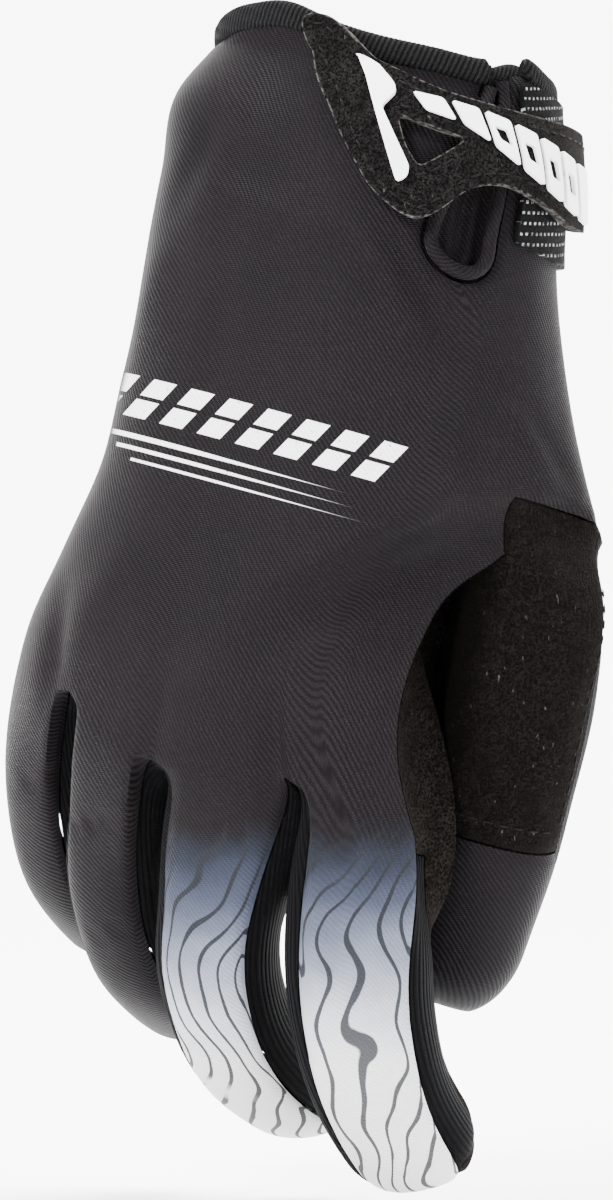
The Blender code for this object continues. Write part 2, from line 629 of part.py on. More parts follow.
TWILL, SUEDE, KNIT, RUBBER = (0.022, 0.021, 0.023), (0.020, 0.017, 0.015), (0.018, 0.018, 0.020), (0.85, 0.85, 0.85)


def add_panels():
    points, quads, labels = welded(skin())
    normals = point_normals(points, quads)
    for panel, name in enumerate(PANELS):
        loops = face_loops(quads[labels == panel])
        pull = SEAM_GAP / 2 if panel in (BACK, PALM) else SIDE_PULL
        body, faces = thick(points, normals, loops, CLOTH, pull)
        suede = panel in (PALM, THUMB_PATCH, THUMB_PALM)
        add_object(name, body, faces, SUEDE if suede else TWILL, 0.95 if suede else 0.75)


def swept(path, sides, ups, profile):
    """A bar along a path: profile is a loop of (towards side, towards up) in metres, flat at both ends."""
    profile = np.asarray(profile)
    rings = path[:, None] + sides[:, None] * profile[:, 0, None] + ups[:, None] * profile[:, 1, None]
    rows, count = rings.shape[:2]
    faces = []
    for r in range(rows - 1):
        for c in range(count):
            d = (c + 1) % count
            faces.append([r * count + c, r * count + d, (r + 1) * count + d, (r + 1) * count + c])
    faces.append(list(reversed(range(count))))
    faces.append([(rows - 1) * count + c for c in range(count)])
    return rings.reshape(-1, 3), faces


def outwards(points, faces):
    """The faces, turned round if they enclose a negative volume."""
    volume = 0.0
    for face in faces:
        for k in range(1, len(face) - 1):
            volume += np.dot(points[face[0]], np.cross(points[face[k]], points[face[k + 1]]))
    return faces if volume > 0 else [face[::-1] for face in faces]


def rounded(width, height, corner):
    """A rectangle with cut corners, its lower side on 0."""
    w, h, c = width / 2, height, corner
    return [(w, c), (w, h - c), (w - c, h), (c - w, h), (-w, h - c), (-w, c), (c - w, 0), (w - c, 0)]


def add_binding():
    """The knitted tape on the rim, from one side of the slit round to the other."""
    ring = cuff_angles(0.0)[:-1]
    angles = np.concatenate([ring[SLIT_FIRST + 1 :], ring[: SLIT_FIRST + 1] - 360])
    angles[0] += BINDING_REACH
    angles[-1] -= BINDING_REACH
    rim = cuff_ring(0.0, angles)
    side = hand_normal(np.zeros(len(angles)), angles)
    side[:, 2] = 0
    side = unit(side)
    up = np.tile([0.0, 0.0, 1.0], (len(angles), 1))
    middle = rim - side * (BINDING_DEPTH / 2 - 0.0006) + up * SEAM_GAP
    points, faces = swept(middle, side, up, rounded(BINDING_DEPTH, BINDING_HEIGHT, 0.0009))
    add_object("cuff_binding", points, outwards(points, faces), KNIT, 0.9)


def slit_edge():
    """The slit's edge down one side, round its foot and up the other, with its normals."""
    rows = np.array(CUFF_ROWS[: SLIT_ROWS + 1]) * THUMB_SPLIT
    rows[0] = 4 * SEAM_GAP / HAND_LENGTH
    pairs = np.array([cuff_angles(s)[SLIT_FIRST : SLIT_FIRST + 2] for s in rows])
    s = np.concatenate([rows, rows[::-1]])
    angles = np.concatenate([pairs[:, 0], pairs[::-1, 1]])
    down = s + rim_share(angles) * (1 - ease(s / 0.2))
    return hand_point(down, angles), hand_normal(down, angles)


def add_piping():
    """The round edging of the slit."""
    edge, normals = slit_edge()
    along = unit(np.gradient(edge, axis=0))
    side = unit(np.cross(normals, along))
    path = edge + side * (PIPING / 2 + 1.5 * SEAM_GAP) - normals * 0.0003
    turns = np.radians(np.arange(0, 360, 45) + 22.5)
    circle = np.stack([np.cos(turns), np.sin(turns)], -1) * PIPING / 2
    points, faces = swept(path, side, normals, circle)
    add_object("slit_piping", points, outwards(points, faces), KNIT, 0.8)


def add_gusset():
    """The pleated cloth behind the slit: its sides lie under the cuff's cloth, its middle is let in."""
    rows = np.linspace(0.012, SLIT_BOTTOM + 0.022, 9)
    shares = np.linspace(0, 1, 9)
    left, right = SLIT[2].left + 3.5, SLIT[2].right - 3.5
    s, across = np.meshgrid(rows, shares, indexing="ij")
    angles = left + (right - left) * across
    normals = hand_normal(s, angles)
    let_in = CLOTH + 0.0005 + GUSSET_DEPTH * np.sin(np.pi * across) ** 1.5 * (1 - 0.6 * ease(s / SLIT_BOTTOM))
    let_in = let_in - 0.0008 * np.sin(4 * np.pi * across) ** 2 * np.sin(np.pi * across)
    grid = hand_point(s, angles) - normals * let_in[..., None]
    points, quads, _ = welded([(grid, np.zeros((len(rows) - 1, len(shares) - 1), int))])
    body, faces = thick(points, point_normals(points, quads), face_loops(quads), GUSSET_WALL, 0)
    add_object("slit_gusset", body, faces, KNIT, 0.85)


def inside(points, loop):
    """Whether each point lies inside a closed loop of corners."""
    x, y = points[:, 0, None], points[:, 1, None]
    a, b = loop, np.roll(loop, -1, axis=0)
    spans = (a[:, 1] > y) != (b[:, 1] > y)
    with np.errstate(divide="ignore", invalid="ignore"):
        cross = a[:, 0] + (y - a[:, 1]) * (b[:, 0] - a[:, 0]) / (b[:, 1] - a[:, 1])
    return (spans & (x < cross)).sum(axis=1) % 2 == 1


def flat(corners):
    """Corners on the wrist as lengths: across to the thumb's side and up."""
    return np.array([(-math.radians(c.angle) * WRIST_RADIUS, -c.down * HAND_LENGTH) for c in corners])


def dense(loop, step):
    """A closed loop with points added so that none of its edges is longer than step."""
    made = []
    for a, b in zip(loop, np.roll(loop, -1, axis=0)):
        count = max(1, math.ceil(np.linalg.norm(b - a) / step))
        made.append(a + (b - a) * (np.arange(count) / count)[:, None])
    return np.concatenate(made)


def cut_up(loops, step):
    """Triangles that fill the first loop and leave out the others."""
    loops = [dense(loop, step) for loop in loops]
    low, high = loops[0].min(axis=0), loops[0].max(axis=0)
    x, y = np.meshgrid(np.arange(low[0], high[0], step), np.arange(low[1], high[1], step), indexing="ij")
    x[:, ::2] += step / 2
    fill = np.stack([x.ravel(), y.ravel()], -1)
    keep = inside(fill, loops[0])
    for loop in loops:
        keep &= np.linalg.norm(fill[:, None] - loop[None], axis=-1).min(axis=1) > step * 0.55
    for loop in loops[1:]:
        keep &= ~inside(fill, loop)
    points, edges = np.concatenate([*loops, fill[keep]]), []
    start = 0
    for loop in loops:
        count = len(loop)
        edges += [(start + k, start + (k + 1) % count) for k in range(count)]
        start += count
    made = delaunay_2d_cdt([Vector(p) for p in (points * 1000).tolist()], edges, [], 0, 1e-5)
    points = np.array([tuple(v) for v in made[0]]) / 1000
    triangles = np.array([list(f) for f in made[2]])
    middle = points[triangles].mean(axis=1)
    keep = inside(middle, loops[0])
    for loop in loops[1:]:
        keep &= ~inside(middle, loop)
    return points, triangles[keep]


def add_plate(name, loops, height, thickness, step, colour, roughness):
    """A flat piece laid round the wrist: height(angles) is how far its inner face stands off the cuff."""
    points, triangles = cut_up([flat(loop) for loop in loops], step)
    angles = -np.degrees(points[:, 0] / WRIST_RADIUS)
    down = -points[:, 1] / HAND_LENGTH
    normals = hand_normal(down, angles)
    top = hand_point(down, angles) + normals * (height(angles) + thickness)[:, None]
    body, faces = thick(top, normals, triangles.tolist(), thickness, 0)
    add_object(name, body, faces, colour, roughness)


def tab_lift(angles):
    return spline(angles, [r.angle for r in TAB_LIFT], [r.height for r in TAB_LIFT])


def add_closure():
    """The tab, the patch that it closes on and the rubber pieces raised on it."""
    add_plate("loop_patch", [LOOP_PATCH], lambda a: 0 * a + PLATE_GAP, PATCH_THICKNESS, 0.006, TWILL, 0.95)
    add_plate("closure_tab", [TAB, TAB_HOLE], tab_lift, TAB_THICKNESS, 0.0040, SUEDE, 0.9)

    def on_tab(angles):
        return tab_lift(angles) + TAB_THICKNESS + PLATE_GAP

    add_plate("raised_wedge", [WEDGE], on_tab, RUBBER_THICKNESS, 0.003, RUBBER, 0.5)
    for k, bar in enumerate(BARS):
        half = BAR_SLANT / 2
        loop = [
            Corner(bar.first + half, bar.top),
            Corner(bar.first - half, bar.foot),
            Corner(bar.last - half, bar.foot),
            Corner(bar.last + half, bar.top),
        ]
        add_plate(f"raised_bar_{k + 1}", [loop], on_tab, RUBBER_THICKNESS, 0.003, RUBBER, 0.5)


def main():
    for old in list(bpy.data.objects):
        bpy.data.objects.remove(old, do_unlink=True)
    add_panels()
    add_binding()
    add_piping()
    add_gusset()
    add_closure()


if __name__ == "__main__":
    main()
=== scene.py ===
# %% [markdown]
# # The looks of a riding glove
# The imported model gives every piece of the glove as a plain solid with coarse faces. This lesson works the
# same pieces out again as fine surfaces, lays a map of lengths on their cloth, and gives each its finish.
# The frame is loaded first, because every piece takes its place and its body from it.

# %% The frame
import math
from collections import namedtuple

import bpy
import numpy as np
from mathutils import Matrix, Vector
from mathutils.geometry import delaunay_2d_cdt


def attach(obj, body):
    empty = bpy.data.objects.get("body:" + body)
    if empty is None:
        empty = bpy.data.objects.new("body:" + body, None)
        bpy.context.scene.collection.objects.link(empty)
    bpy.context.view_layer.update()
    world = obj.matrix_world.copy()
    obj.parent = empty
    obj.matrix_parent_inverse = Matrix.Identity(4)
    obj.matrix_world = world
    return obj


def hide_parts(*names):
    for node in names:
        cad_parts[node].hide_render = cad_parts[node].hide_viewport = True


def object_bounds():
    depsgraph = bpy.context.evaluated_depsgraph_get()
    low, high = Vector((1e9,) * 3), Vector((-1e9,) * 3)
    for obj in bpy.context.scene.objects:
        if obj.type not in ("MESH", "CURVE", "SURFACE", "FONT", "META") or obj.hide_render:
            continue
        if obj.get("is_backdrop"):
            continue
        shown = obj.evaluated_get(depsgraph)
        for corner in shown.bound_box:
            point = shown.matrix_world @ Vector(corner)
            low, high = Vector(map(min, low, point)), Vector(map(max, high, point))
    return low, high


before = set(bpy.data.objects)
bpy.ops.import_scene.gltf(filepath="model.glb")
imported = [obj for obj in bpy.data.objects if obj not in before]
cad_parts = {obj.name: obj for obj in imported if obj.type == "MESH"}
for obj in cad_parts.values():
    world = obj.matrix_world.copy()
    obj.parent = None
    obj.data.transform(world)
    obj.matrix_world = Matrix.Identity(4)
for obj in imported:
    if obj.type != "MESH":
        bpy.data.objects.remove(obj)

cad_box = [list(corner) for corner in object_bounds()]
print("nodes in the frame:", len(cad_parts))

# %% [markdown]
# ## The sizes of the hand
# The glove is filled out as on a hand, so its cloth follows the sections of one. A sculpted mesh would do as
# well, but then the piece of cloth between two seams could not be named. Here a table of sections gives the
# surface, in the same words as the source of the solids and with most of its values. RIM_RISE, RIDGE and the
# wrinkles differ from it.

# %% Sizes and sections
HAND_LENGTH = 0.131
PALM_WIDTH = 0.095
PALM_DEPTH = 0.034
FINGER_WIDTH = 0.0235
FINGER_DEPTH = 0.0215
CLOTH = 0.0011
VIEW_TURN = 28.0  # degrees from the view in which the glove is measured to its own axes
Section = namedtuple("Section", "down aside back width depth arch turn lean thumb")
SECTIONS = (
    Section(0.00, 0.000, 0.000, 0.69, 1.34, 0.02, 20, 13, 0.00),
    Section(0.08, -0.037, -0.005, 0.79, 1.44, 0.02, 20, 14, 0.00),
    Section(0.20, -0.068, -0.015, 0.81, 1.44, 0.03, 22, 15, 0.02),
    Section(0.35, -0.103, -0.030, 0.83, 1.38, 0.04, 24, 16, 0.075),
    Section(0.50, -0.144, -0.045, 0.85, 1.29, 0.05, 26, 16, 0.165),
    Section(0.62, -0.182, -0.055, 0.880, 1.20, 0.07, 27, 16, 0.25),
    Section(0.75, -0.248, -0.065, 0.94, 1.10, 0.09, 28, 16, 0.15),
    Section(0.88, -0.306, -0.070, 1.01, 1.02, 0.11, 28, 16, 0.05),
    Section(1.00, -0.335, -0.070, 1.05, 0.92, 0.12, 28, 16, 0.0),
    Section(1.12, -0.350, -0.060, 1.05, 0.86, 0.12, 28, 16, 0.0),
)
SQUARENESS = 0.86
THUMB_SPLIT = 0.60
CROTCH_BACK, CROTCH_PALM, THUMB_SIDE, SWELL_SHARE = 12.0, -68.0, -28.0, 0.13
LITTLE_SEAM, SEAM_BULGE = -155.0, 14.0
Web = namedtuple("Web", "across back palm")
WEBS = (
    Web(-0.90, 0.93, 0.96),
    Web(-0.52, 0.944, 0.975),
    Web(-0.06, 1.005, 1.02),
    Web(0.48, 0.970, 1.01),
    Web(0.91, 1.010, 1.02),
)
RIM = ((-155, -0.030), (-90, -0.028), (-30, -0.010), (0, 0.006), (24, 0.020), (40, 0.002), (62, 0.0))
RIM += ((88, 0.003), (108, 0.023), (125, 0.013), (160, -0.016), (205, -0.030))
RIM_RISE = 0.015  # how much higher the cloth reaches here than the solids', up into its tape
CUFF_COLUMNS = ((0.0, 190), (0.25, 150), (0.5, 106), (0.75, 62), (0.8125, 52), (0.875, 28))
CUFF_COLUMNS += ((1.0, CROTCH_BACK),)
SLIT = ((0.0, 42, 29), (0.08, 49, 28), (0.18, 56, 28), (0.30, 56, 26))
SLIT_FIRST, SLIT_ROWS, SLIT_FOOT = 13, 8, 0.05
RIDGE = ((-75, 0.63), (-30, 0.545), (0, 0.505), (30, 0.56), (55, 0.63), (80, 0.74))
FOLD_DEPTH, FOLD_SHARE = 0.0040, 0.065

# %% [markdown]
# ## Fingers, thumb and rows
# A finger is a stack of rings that follow a bent line. Its last ring closes into the seam across its tip.
# The rows and columns are those of the solids, each divided by FINE, so every seam falls on the same line.

# %% Fingers and rows
Finger = namedtuple("Finger", "name length width depth lean curl turn")
FINGERS = (
    Finger("little", 0.066, 0.76, 0.86, (-8, 14, 42), (22, 38, 54), 46),
    Finger("ring", 0.080, 0.87, 0.95, (-12, 18, 50), (18, 42, 62), 34),
    Finger("middle", 0.088, 0.94, 1.00, (-17, 16, 54), (13, 33, 52), 22),
    Finger("index", 0.077, 1.14, 1.00, (-8, 10, 32), (5, 21, 38), 8),
)
THUMB = Finger("thumb", 0.087, 1.15, 1.16, (-8, -13, -18), (10, 12, 16), 4)
STRETCH_SHARES = (0.0, 0.15, 0.5, 0.85, 1.0)
FINGER_TAPER, SEAM_ANGLE, TIP_SHARE, TIP_WIDTH = 0.16, 42.0, 0.17, 0.50
WEB_GAP, WEB_RADIUS, JOIN_LENGTH = 0.0026, 0.0080, 0.028
FINE = 4  # faces of the fine cloth along one face of the solids
CUFF_ROWS = (0.0, 0.08, 0.16, 0.235, 0.30, 0.355, 0.40, 0.42, 0.43, 0.50, 0.59, 0.68, 0.77, 0.85, 0.93, 1.0)
HAND_ROWS = (0.0, 0.05, 0.13, 0.22, 0.32, 0.44, 0.58, 0.72, 0.86, 1.0)
FINGER_ROWS = (0, 0.025, 0.055, 0.09, 0.14, 0.22, 0.33, 0.45, 0.57, 0.68, 0.78, 0.86, 0.92, 0.96, 0.985, 1)
THUMB_ROWS = (0, 0.03, 0.07, 0.12, 0.20, 0.29, 0.39, 0.49, 0.59, 0.69, 0.78, 0.86, 0.92, 0.96, 0.985, 1)
SLIT_BOTTOM = CUFF_ROWS[SLIT_ROWS] * THUMB_SPLIT
ACROSS_WEBS = len(WEBS) - 1
FACES_BACK, FACES_SIDE, FACES_THUMB = 4, 3, 9
BACK_COLUMNS = ACROSS_WEBS * FACES_BACK

# %% [markdown]
# ## Small helpers
# A spline through a table keeps a surface smooth between its rows, and a smooth step blends one rule into
# another. Both work on whole arrays.

# %% Helpers for arrays
def spline(x, rows, column=1):
    """A smooth curve through a table's rows: cubic pieces that share a slope at each row."""
    xs = np.array([row[0] for row in rows], float)
    ys = np.array([row[column] for row in rows], float)
    x = np.clip(np.asarray(x, float), xs[0], xs[-1])
    slope = np.gradient(ys, xs)
    k = np.clip(np.searchsorted(xs, x, side="right") - 1, 0, len(xs) - 2)
    h = xs[k + 1] - xs[k]
    t = (x - xs[k]) / h
    start = ys[k] * (1 + 2 * t) * (1 - t) ** 2 + slope[k] * h * t * (1 - t) ** 2
    end = ys[k + 1] * t * t * (3 - 2 * t) + slope[k + 1] * h * t * t * (t - 1)
    return start + end


def ease(t):
    """From 0 to 1 with no slope at either end."""
    t = np.clip(t, 0, 1)
    return t * t * (3 - 2 * t)


def unit(v):
    """Each vector divided by its length."""
    return v / np.maximum(np.linalg.norm(v, axis=-1, keepdims=True), 1e-12)


def signed_power(v, power):
    """The size of v raised to a power, with v's sign."""
    return np.sign(v) * np.abs(v) ** power


def finer(values, times=FINE):
    """The same run of values with times - 1 more put evenly between each two."""
    values = np.asarray(values, float)
    count = len(values) - 1
    return np.interp(np.arange(count * times + 1) / times, np.arange(count + 1), values)


def turned(points):
    """From the view in which the glove is measured, x right and y away, to its own axes."""
    a = math.radians(VIEW_TURN)
    x, y, z = np.asarray(points, float).reshape(-1, 3).T
    return np.stack([x * math.cos(a) - y * math.sin(a), x * math.sin(a) + y * math.cos(a), z], -1)

# %% [markdown]
# ## The surface of the hand
# Every piece on the hand lies on one surface: a point for each share down the hand and each angle round it.
# The cloth, the slit's edge and the tab all read it, so they stay together.

# %% The hand as a function of two parameters
def section(name, s):
    """One column of SECTIONS at shares s down the hand."""
    return spline(s, SECTIONS, Section._fields.index(name))


def fold_over_thumb(s, degrees):
    """A dip below the ridge over the thumb's root: depth times t times exp(1 - t), t from the ridge."""
    t = np.maximum((s - spline(degrees, RIDGE)) / FOLD_SHARE, 0)
    reach = ease((degrees + 75) / 40) * ease((88 - degrees) / 50)
    return -FOLD_DEPTH * t * np.exp(1 - t) * reach


def hand_point(s, degrees):
    """A squared ellipse for each share s, bent by its arch, swollen at the thumb, then turned and leant."""
    s, degrees = np.broadcast_arrays(np.asarray(s, float), np.asarray(degrees, float))
    angle = np.radians(degrees)
    half_width = section("width", s) * PALM_WIDTH / 2
    half_depth = section("depth", s) * PALM_DEPTH / 2
    share_across = signed_power(np.cos(angle), SQUARENESS)
    stand = fold_over_thumb(s, degrees)
    across = half_width * share_across + stand * np.cos(angle)
    out = half_depth * signed_power(np.sin(angle), SQUARENESS) + stand * np.sin(angle)
    out = out - section("arch", s) * 2 * half_width * (share_across**2 - 1 / 3)
    first, last = CROTCH_BACK + 14, CROTCH_PALM - 14
    share = np.clip((first - degrees) / (first - last), 0, 1)
    left = 1 - ease((s - THUMB_SPLIT) / SWELL_SHARE)
    swell = section("thumb", s) * PALM_WIDTH * np.sin(np.pi * share) ** 1.2 * left
    across = across + swell * math.cos(math.radians(THUMB_SIDE))
    out = out + swell * math.sin(math.radians(THUMB_SIDE))
    turn, lean = np.radians(section("turn", s)), np.radians(section("lean", s))
    side = across * np.cos(turn) - out * np.sin(turn)
    x = section("aside", s) * PALM_WIDTH + side * np.cos(lean)
    y = section("back", s) * PALM_WIDTH - across * np.sin(turn) - out * np.cos(turn)
    return np.stack([x, y, -s * HAND_LENGTH - side * np.sin(lean)], -1)


def hand_normal(s, degrees):
    """The outward normal: the cross product of a small step down and a small step round."""
    s, degrees = np.broadcast_arrays(np.asarray(s, float), np.asarray(degrees, float))
    down = hand_point(s + 0.01, degrees) - hand_point(s - 0.01, degrees)
    round_it = hand_point(s, degrees - 2) - hand_point(s, degrees + 2)
    return unit(np.cross(down, round_it))

# %% Angles of the columns
def web_values(name, shares):
    """A column of WEBS at shares across the hand, 0 at the little finger's side."""
    column = [getattr(w, name) for w in WEBS]
    return np.interp(np.asarray(shares) * ACROSS_WEBS, np.arange(len(WEBS)), column)


def web_angle(across):
    """The angle round the section of a point this far across it, on the back."""
    return np.degrees(np.arccos(signed_power(np.asarray(across, float), 1 / SQUARENESS)))


def back_angles(s, shares):
    """Angles of the back's columns: those of the cuff, blended into those of the webs."""
    cuff = np.interp(shares, *np.array(CUFF_COLUMNS).T)
    below = np.clip((s - THUMB_SPLIT) / (1 - THUMB_SPLIT), 0, 1)
    bulge = SEAM_BULGE * np.sin(np.pi * below) * ease((shares - 0.6) / 0.4)
    mix = np.where(shares > 0.99, ease(below), ease((s - 0.05) / 0.9))
    return cuff * (1 - mix) + web_angle(web_values("across", shares)) * mix + bulge


def palm_angles(s, shares):
    """Angles of the palm's columns, from the index finger's side to the little finger's."""
    heel = CROTCH_PALM + (LITTLE_SEAM - CROTCH_PALM) * shares
    mix = ease((s - THUMB_SPLIT) / (1 - THUMB_SPLIT))
    return heel * (1 - mix) - web_angle(web_values("across", 1 - shares)) * mix


def rim_share(degrees):
    """How far down the rim lies at angles round the wrist, as a share of HAND_LENGTH."""
    return -spline((np.asarray(degrees, float) + 155) % 360 - 155, RIM) - RIM_RISE


def slit_angles(s, plain):
    """The slit's two edges at a share s: its table, drawn together at its foot, then the plain columns."""
    own = np.array([spline(s, SLIT, 1), spline(s, SLIT, 2)])
    t = np.clip((s - (SLIT_BOTTOM - SLIT_FOOT)) / SLIT_FOOT, 0, 1)
    narrow = math.sqrt(max(1 - t * t, 0.0144)) + 0.6 * ease((s - SLIT_BOTTOM) / 0.08)
    own = own.mean() + (own - own.mean()) * min(narrow, 1)
    mix = ease((s - SLIT_BOTTOM) / 0.12)
    return own * (1 - mix) + plain * mix


def cuff_angles(s):
    """Angles of one coarse ring: back, outer side of the thumb, palm, little finger's side."""
    shares = np.linspace(0, 1, BACK_COLUMNS + 1)
    back = back_angles(s, shares)
    back[SLIT_FIRST : SLIT_FIRST + 2] = slit_angles(s, back[SLIT_FIRST : SLIT_FIRST + 2])
    outer = np.linspace(back[-1], CROTCH_PALM, FACES_THUMB + 1)[1:-1]
    palm = palm_angles(s, shares)
    little = np.linspace(palm[-1], back[0] - 360, FACES_SIDE + 1)[1:]
    return np.concatenate([back, outer, palm, little])


def cuff_ring(s, angles):
    """Points at one share, raised to the uneven rim near the top."""
    return hand_point(s + rim_share(angles) * (1 - ease(s / 0.2)), angles)

# %% [markdown]
# ## The skin as grids
# The cloth is one skin before it is parted: a grid for the cuff, one for the hand, one for each finger and
# one for the thumb. Rings that meet share their points, so the grids join without a gap.

# %% The cuff and the hand
BACK_FINE, SIDE_FINE = BACK_COLUMNS * FINE, FACES_SIDE * FINE
THUMB_FINE, FINGER_FINE = FACES_THUMB * FINE, FACES_BACK * FINE
PALM_START = BACK_FINE + SIDE_FINE


def inner_steps(a, b, count):
    """The points inside a straight line of count steps."""
    return a + (b - a) * np.linspace(0, 1, count + 1)[1:-1, None]


def side_bow(first, last, amount):
    """A chord bowed towards the thumb: its height is 4 t (1 - t) times its length times amount."""
    t = np.linspace(0, 1, SIDE_FINE + 1)[1:-1, None]
    chord = last - first
    out = unit(np.cross([0.0, 0.0, 1.0], chord))
    return first + chord * t + out * (4 * t * (1 - t) * np.linalg.norm(chord) * amount)


def cuff_grid():
    """Rings from the rim to where the thumb parts."""
    return np.array([cuff_ring(s, finer(cuff_angles(s))) for s in finer(CUFF_ROWS) * THUMB_SPLIT])


def hand_ring(row, shares, back_ends, palm_ends, little_ends):
    """One ring between the thumb and the webs, this share of the way down."""
    ends = (back_ends, palm_ends, little_ends)
    s_back, s_palm, s_little = (THUMB_SPLIT + (e - THUMB_SPLIT) * row for e in ends)
    back, palm = back_angles(s_back, shares), palm_angles(s_palm, shares)
    little = np.linspace(palm[-1], back[0] - 360, FACES_SIDE + 1)
    back_points = hand_point(finer(s_back), finer(back))
    palm_points = hand_point(finer(s_palm), finer(palm))
    bow = side_bow(back_points[-1], palm_points[0], 0.24 * ease(row / 0.6))
    return np.concatenate([back_points, bow, palm_points, hand_point(finer(s_little), finer(little))[1:]])


def hand_grid():
    """Rings from where the thumb parts to the webs: back, index side, palm, little finger's side."""
    shares = np.linspace(0, 1, BACK_COLUMNS + 1)
    back_ends, palm_ends = web_values("back", shares), web_values("palm", 1 - shares)
    little_ends = palm_ends[-1] + (back_ends[0] - palm_ends[-1]) * np.linspace(0, 1, FACES_SIDE + 1)
    return np.array([hand_ring(row, shares, back_ends, palm_ends, little_ends) for row in finer(HAND_ROWS)])


cuff, hand = cuff_grid(), hand_grid()
print("cuff and hand grids:", cuff.shape, hand.shape)

# %% A finger and the thumb
def centreline(finger, shares):
    """How far from its root a finger's middle lies, and its direction: leans and curls summed along it."""
    steps = np.linspace(0, 1, 81)
    five = (0, 0, 1, 2, 2)
    lean = np.radians(spline(steps, [(s, finger.lean[k]) for s, k in zip(STRETCH_SHARES, five)]))
    curl = np.radians(spline(steps, [(s, finger.curl[k]) for s, k in zip(STRETCH_SHARES, five)]))
    way = np.stack([np.sin(lean) * np.cos(curl), np.sin(curl), -np.cos(lean) * np.cos(curl)], -1)
    pieces = (way[1:] + way[:-1]) / 2 * np.diff(steps)[:, None] * finger.length
    along = np.concatenate([np.zeros((1, 3)), np.cumsum(pieces, axis=0)])
    middle = np.stack([np.interp(shares, steps, along[:, k]) for k in range(3)], -1)
    return middle, unit(np.stack([np.interp(shares, steps, way[:, k]) for k in range(3)], -1))


def finger_grid(finger, base, above, angles, parted, rows, root_gap):
    """Rings from a root ring (base) to the seam across the tip.

    Each point is the finger's own squared ellipse plus what is left of the step from it to the root. parted
    is 1 where two fingers part, and there the step is gone within WEB_RADIUS, in a round arch.
    """
    angle = np.radians(angles)
    middle, way = centreline(finger, rows)
    turn = math.radians(finger.turn)
    wide = np.array([math.cos(turn), -math.sin(turn), 0.0])
    wide = unit(wide - way * (way @ wide)[:, None])
    out = np.cross(way, wide)
    centre = base[:-1].mean(axis=0)
    root_width = np.ptp((base - centre) @ wide[0]) - root_gap
    root_depth = np.ptp((base - centre) @ out[0])
    own = ease(rows * finger.length / JOIN_LENGTH)
    taper = 1 + FINGER_TAPER * (0.5 - rows)
    q = np.clip((rows - (1 - TIP_SHARE)) / TIP_SHARE, 0, 1)
    width = root_width * (1 - own) + finger.width * FINGER_WIDTH * taper * own
    width = width * np.sqrt(1 - (1 - TIP_WIDTH**2) * q * q)
    depth = (root_depth * (1 - own) + finger.depth * FINGER_DEPTH * taper * own) * np.sqrt(1 - q * q)
    across = width[:, None] / 2 * signed_power(np.cos(angle), SQUARENESS)
    outward = depth[:, None] / 2 * signed_power(np.sin(angle), SQUARENESS)
    points = centre + middle[:, None] + wide[:, None] * across[..., None] + out[:, None] * outward[..., None]
    step = base - points[0]
    run = rows * finger.length
    slow = 1 - ease(run / JOIN_LENGTH)
    quick = 1 - np.sqrt(1 - (1 - np.clip(run / WEB_RADIUS, 0, 1)) ** 2)
    left = quick[:, None] * parted + slow[:, None] * (1 - parted)
    start = (1 - parted)[:, None] * (unit(base - above) - way[0])
    lead = run * (1 - np.clip(run / JOIN_LENGTH, 0, 1)) ** 2
    down = (step @ way[0])[:, None] * way[0] * (finger is not THUMB)
    points = points + down * slow[:, None, None] + (step - down) * left[..., None]
    return points + start * lead[:, None, None]


def finger_ring(values, k):
    """What the hand's last ring holds, points or lengths, at the columns of finger k's root ring."""
    back = values[k * FINGER_FINE : (k + 1) * FINGER_FINE + 1]
    palm_last = PALM_START + BACK_FINE - k * FINGER_FINE
    palm = values[palm_last - FINGER_FINE : palm_last + 1]
    index_side = inner_steps(back[-1], palm[0], SIDE_FINE)
    little_side = inner_steps(palm[-1], back[0], SIDE_FINE)
    if k == len(FINGERS) - 1:
        index_side = values[BACK_FINE + 1 : PALM_START]
    if k == 0:
        little_side = values[PALM_START + BACK_FINE + 1 : -1]
    return np.concatenate([back, index_side, palm, little_side, back[:1]])


def thumb_ring(cuff_values, hand_values):
    """What the cuff's last ring and the hand's first hold at the columns of the thumb's root ring."""
    outer = cuff_values[BACK_FINE : BACK_FINE + THUMB_FINE + 1]
    web = hand_values[BACK_FINE + 1 : BACK_FINE + SIDE_FINE][::-1]
    return np.concatenate([outer, web, outer[:1]])

# %% All the grids
def ring_angles():
    """Angles of a finger's coarse ring: back, index side, palm, little side."""
    a = SEAM_ANGLE
    back = np.linspace(180 - a, a, FACES_BACK + 1)
    side = np.linspace(a, -a, FACES_SIDE + 1)[1:-1]
    palm = np.linspace(-a, a - 180, FACES_BACK + 1)
    return np.concatenate([back, side, palm, np.linspace(a - 180, -180 - a, FACES_SIDE + 1)[1:]])


fingers = []
for k, finger in enumerate(FINGERS):
    coarse = ring_angles()
    parted = np.zeros(len(coarse))
    if k < 3:
        parted[FACES_BACK : FACES_BACK + FACES_SIDE + 1] = 1
    if k > 0:
        parted[2 * FACES_BACK + FACES_SIDE :] = 1
        parted[0] = 1
    roots = finger_ring(hand[-1], k), finger_ring(hand[-2], k)
    around = finer(coarse), ease(finer(parted))
    fingers.append(finger_grid(finger, *roots, *around, finer(FINGER_ROWS), WEB_GAP))

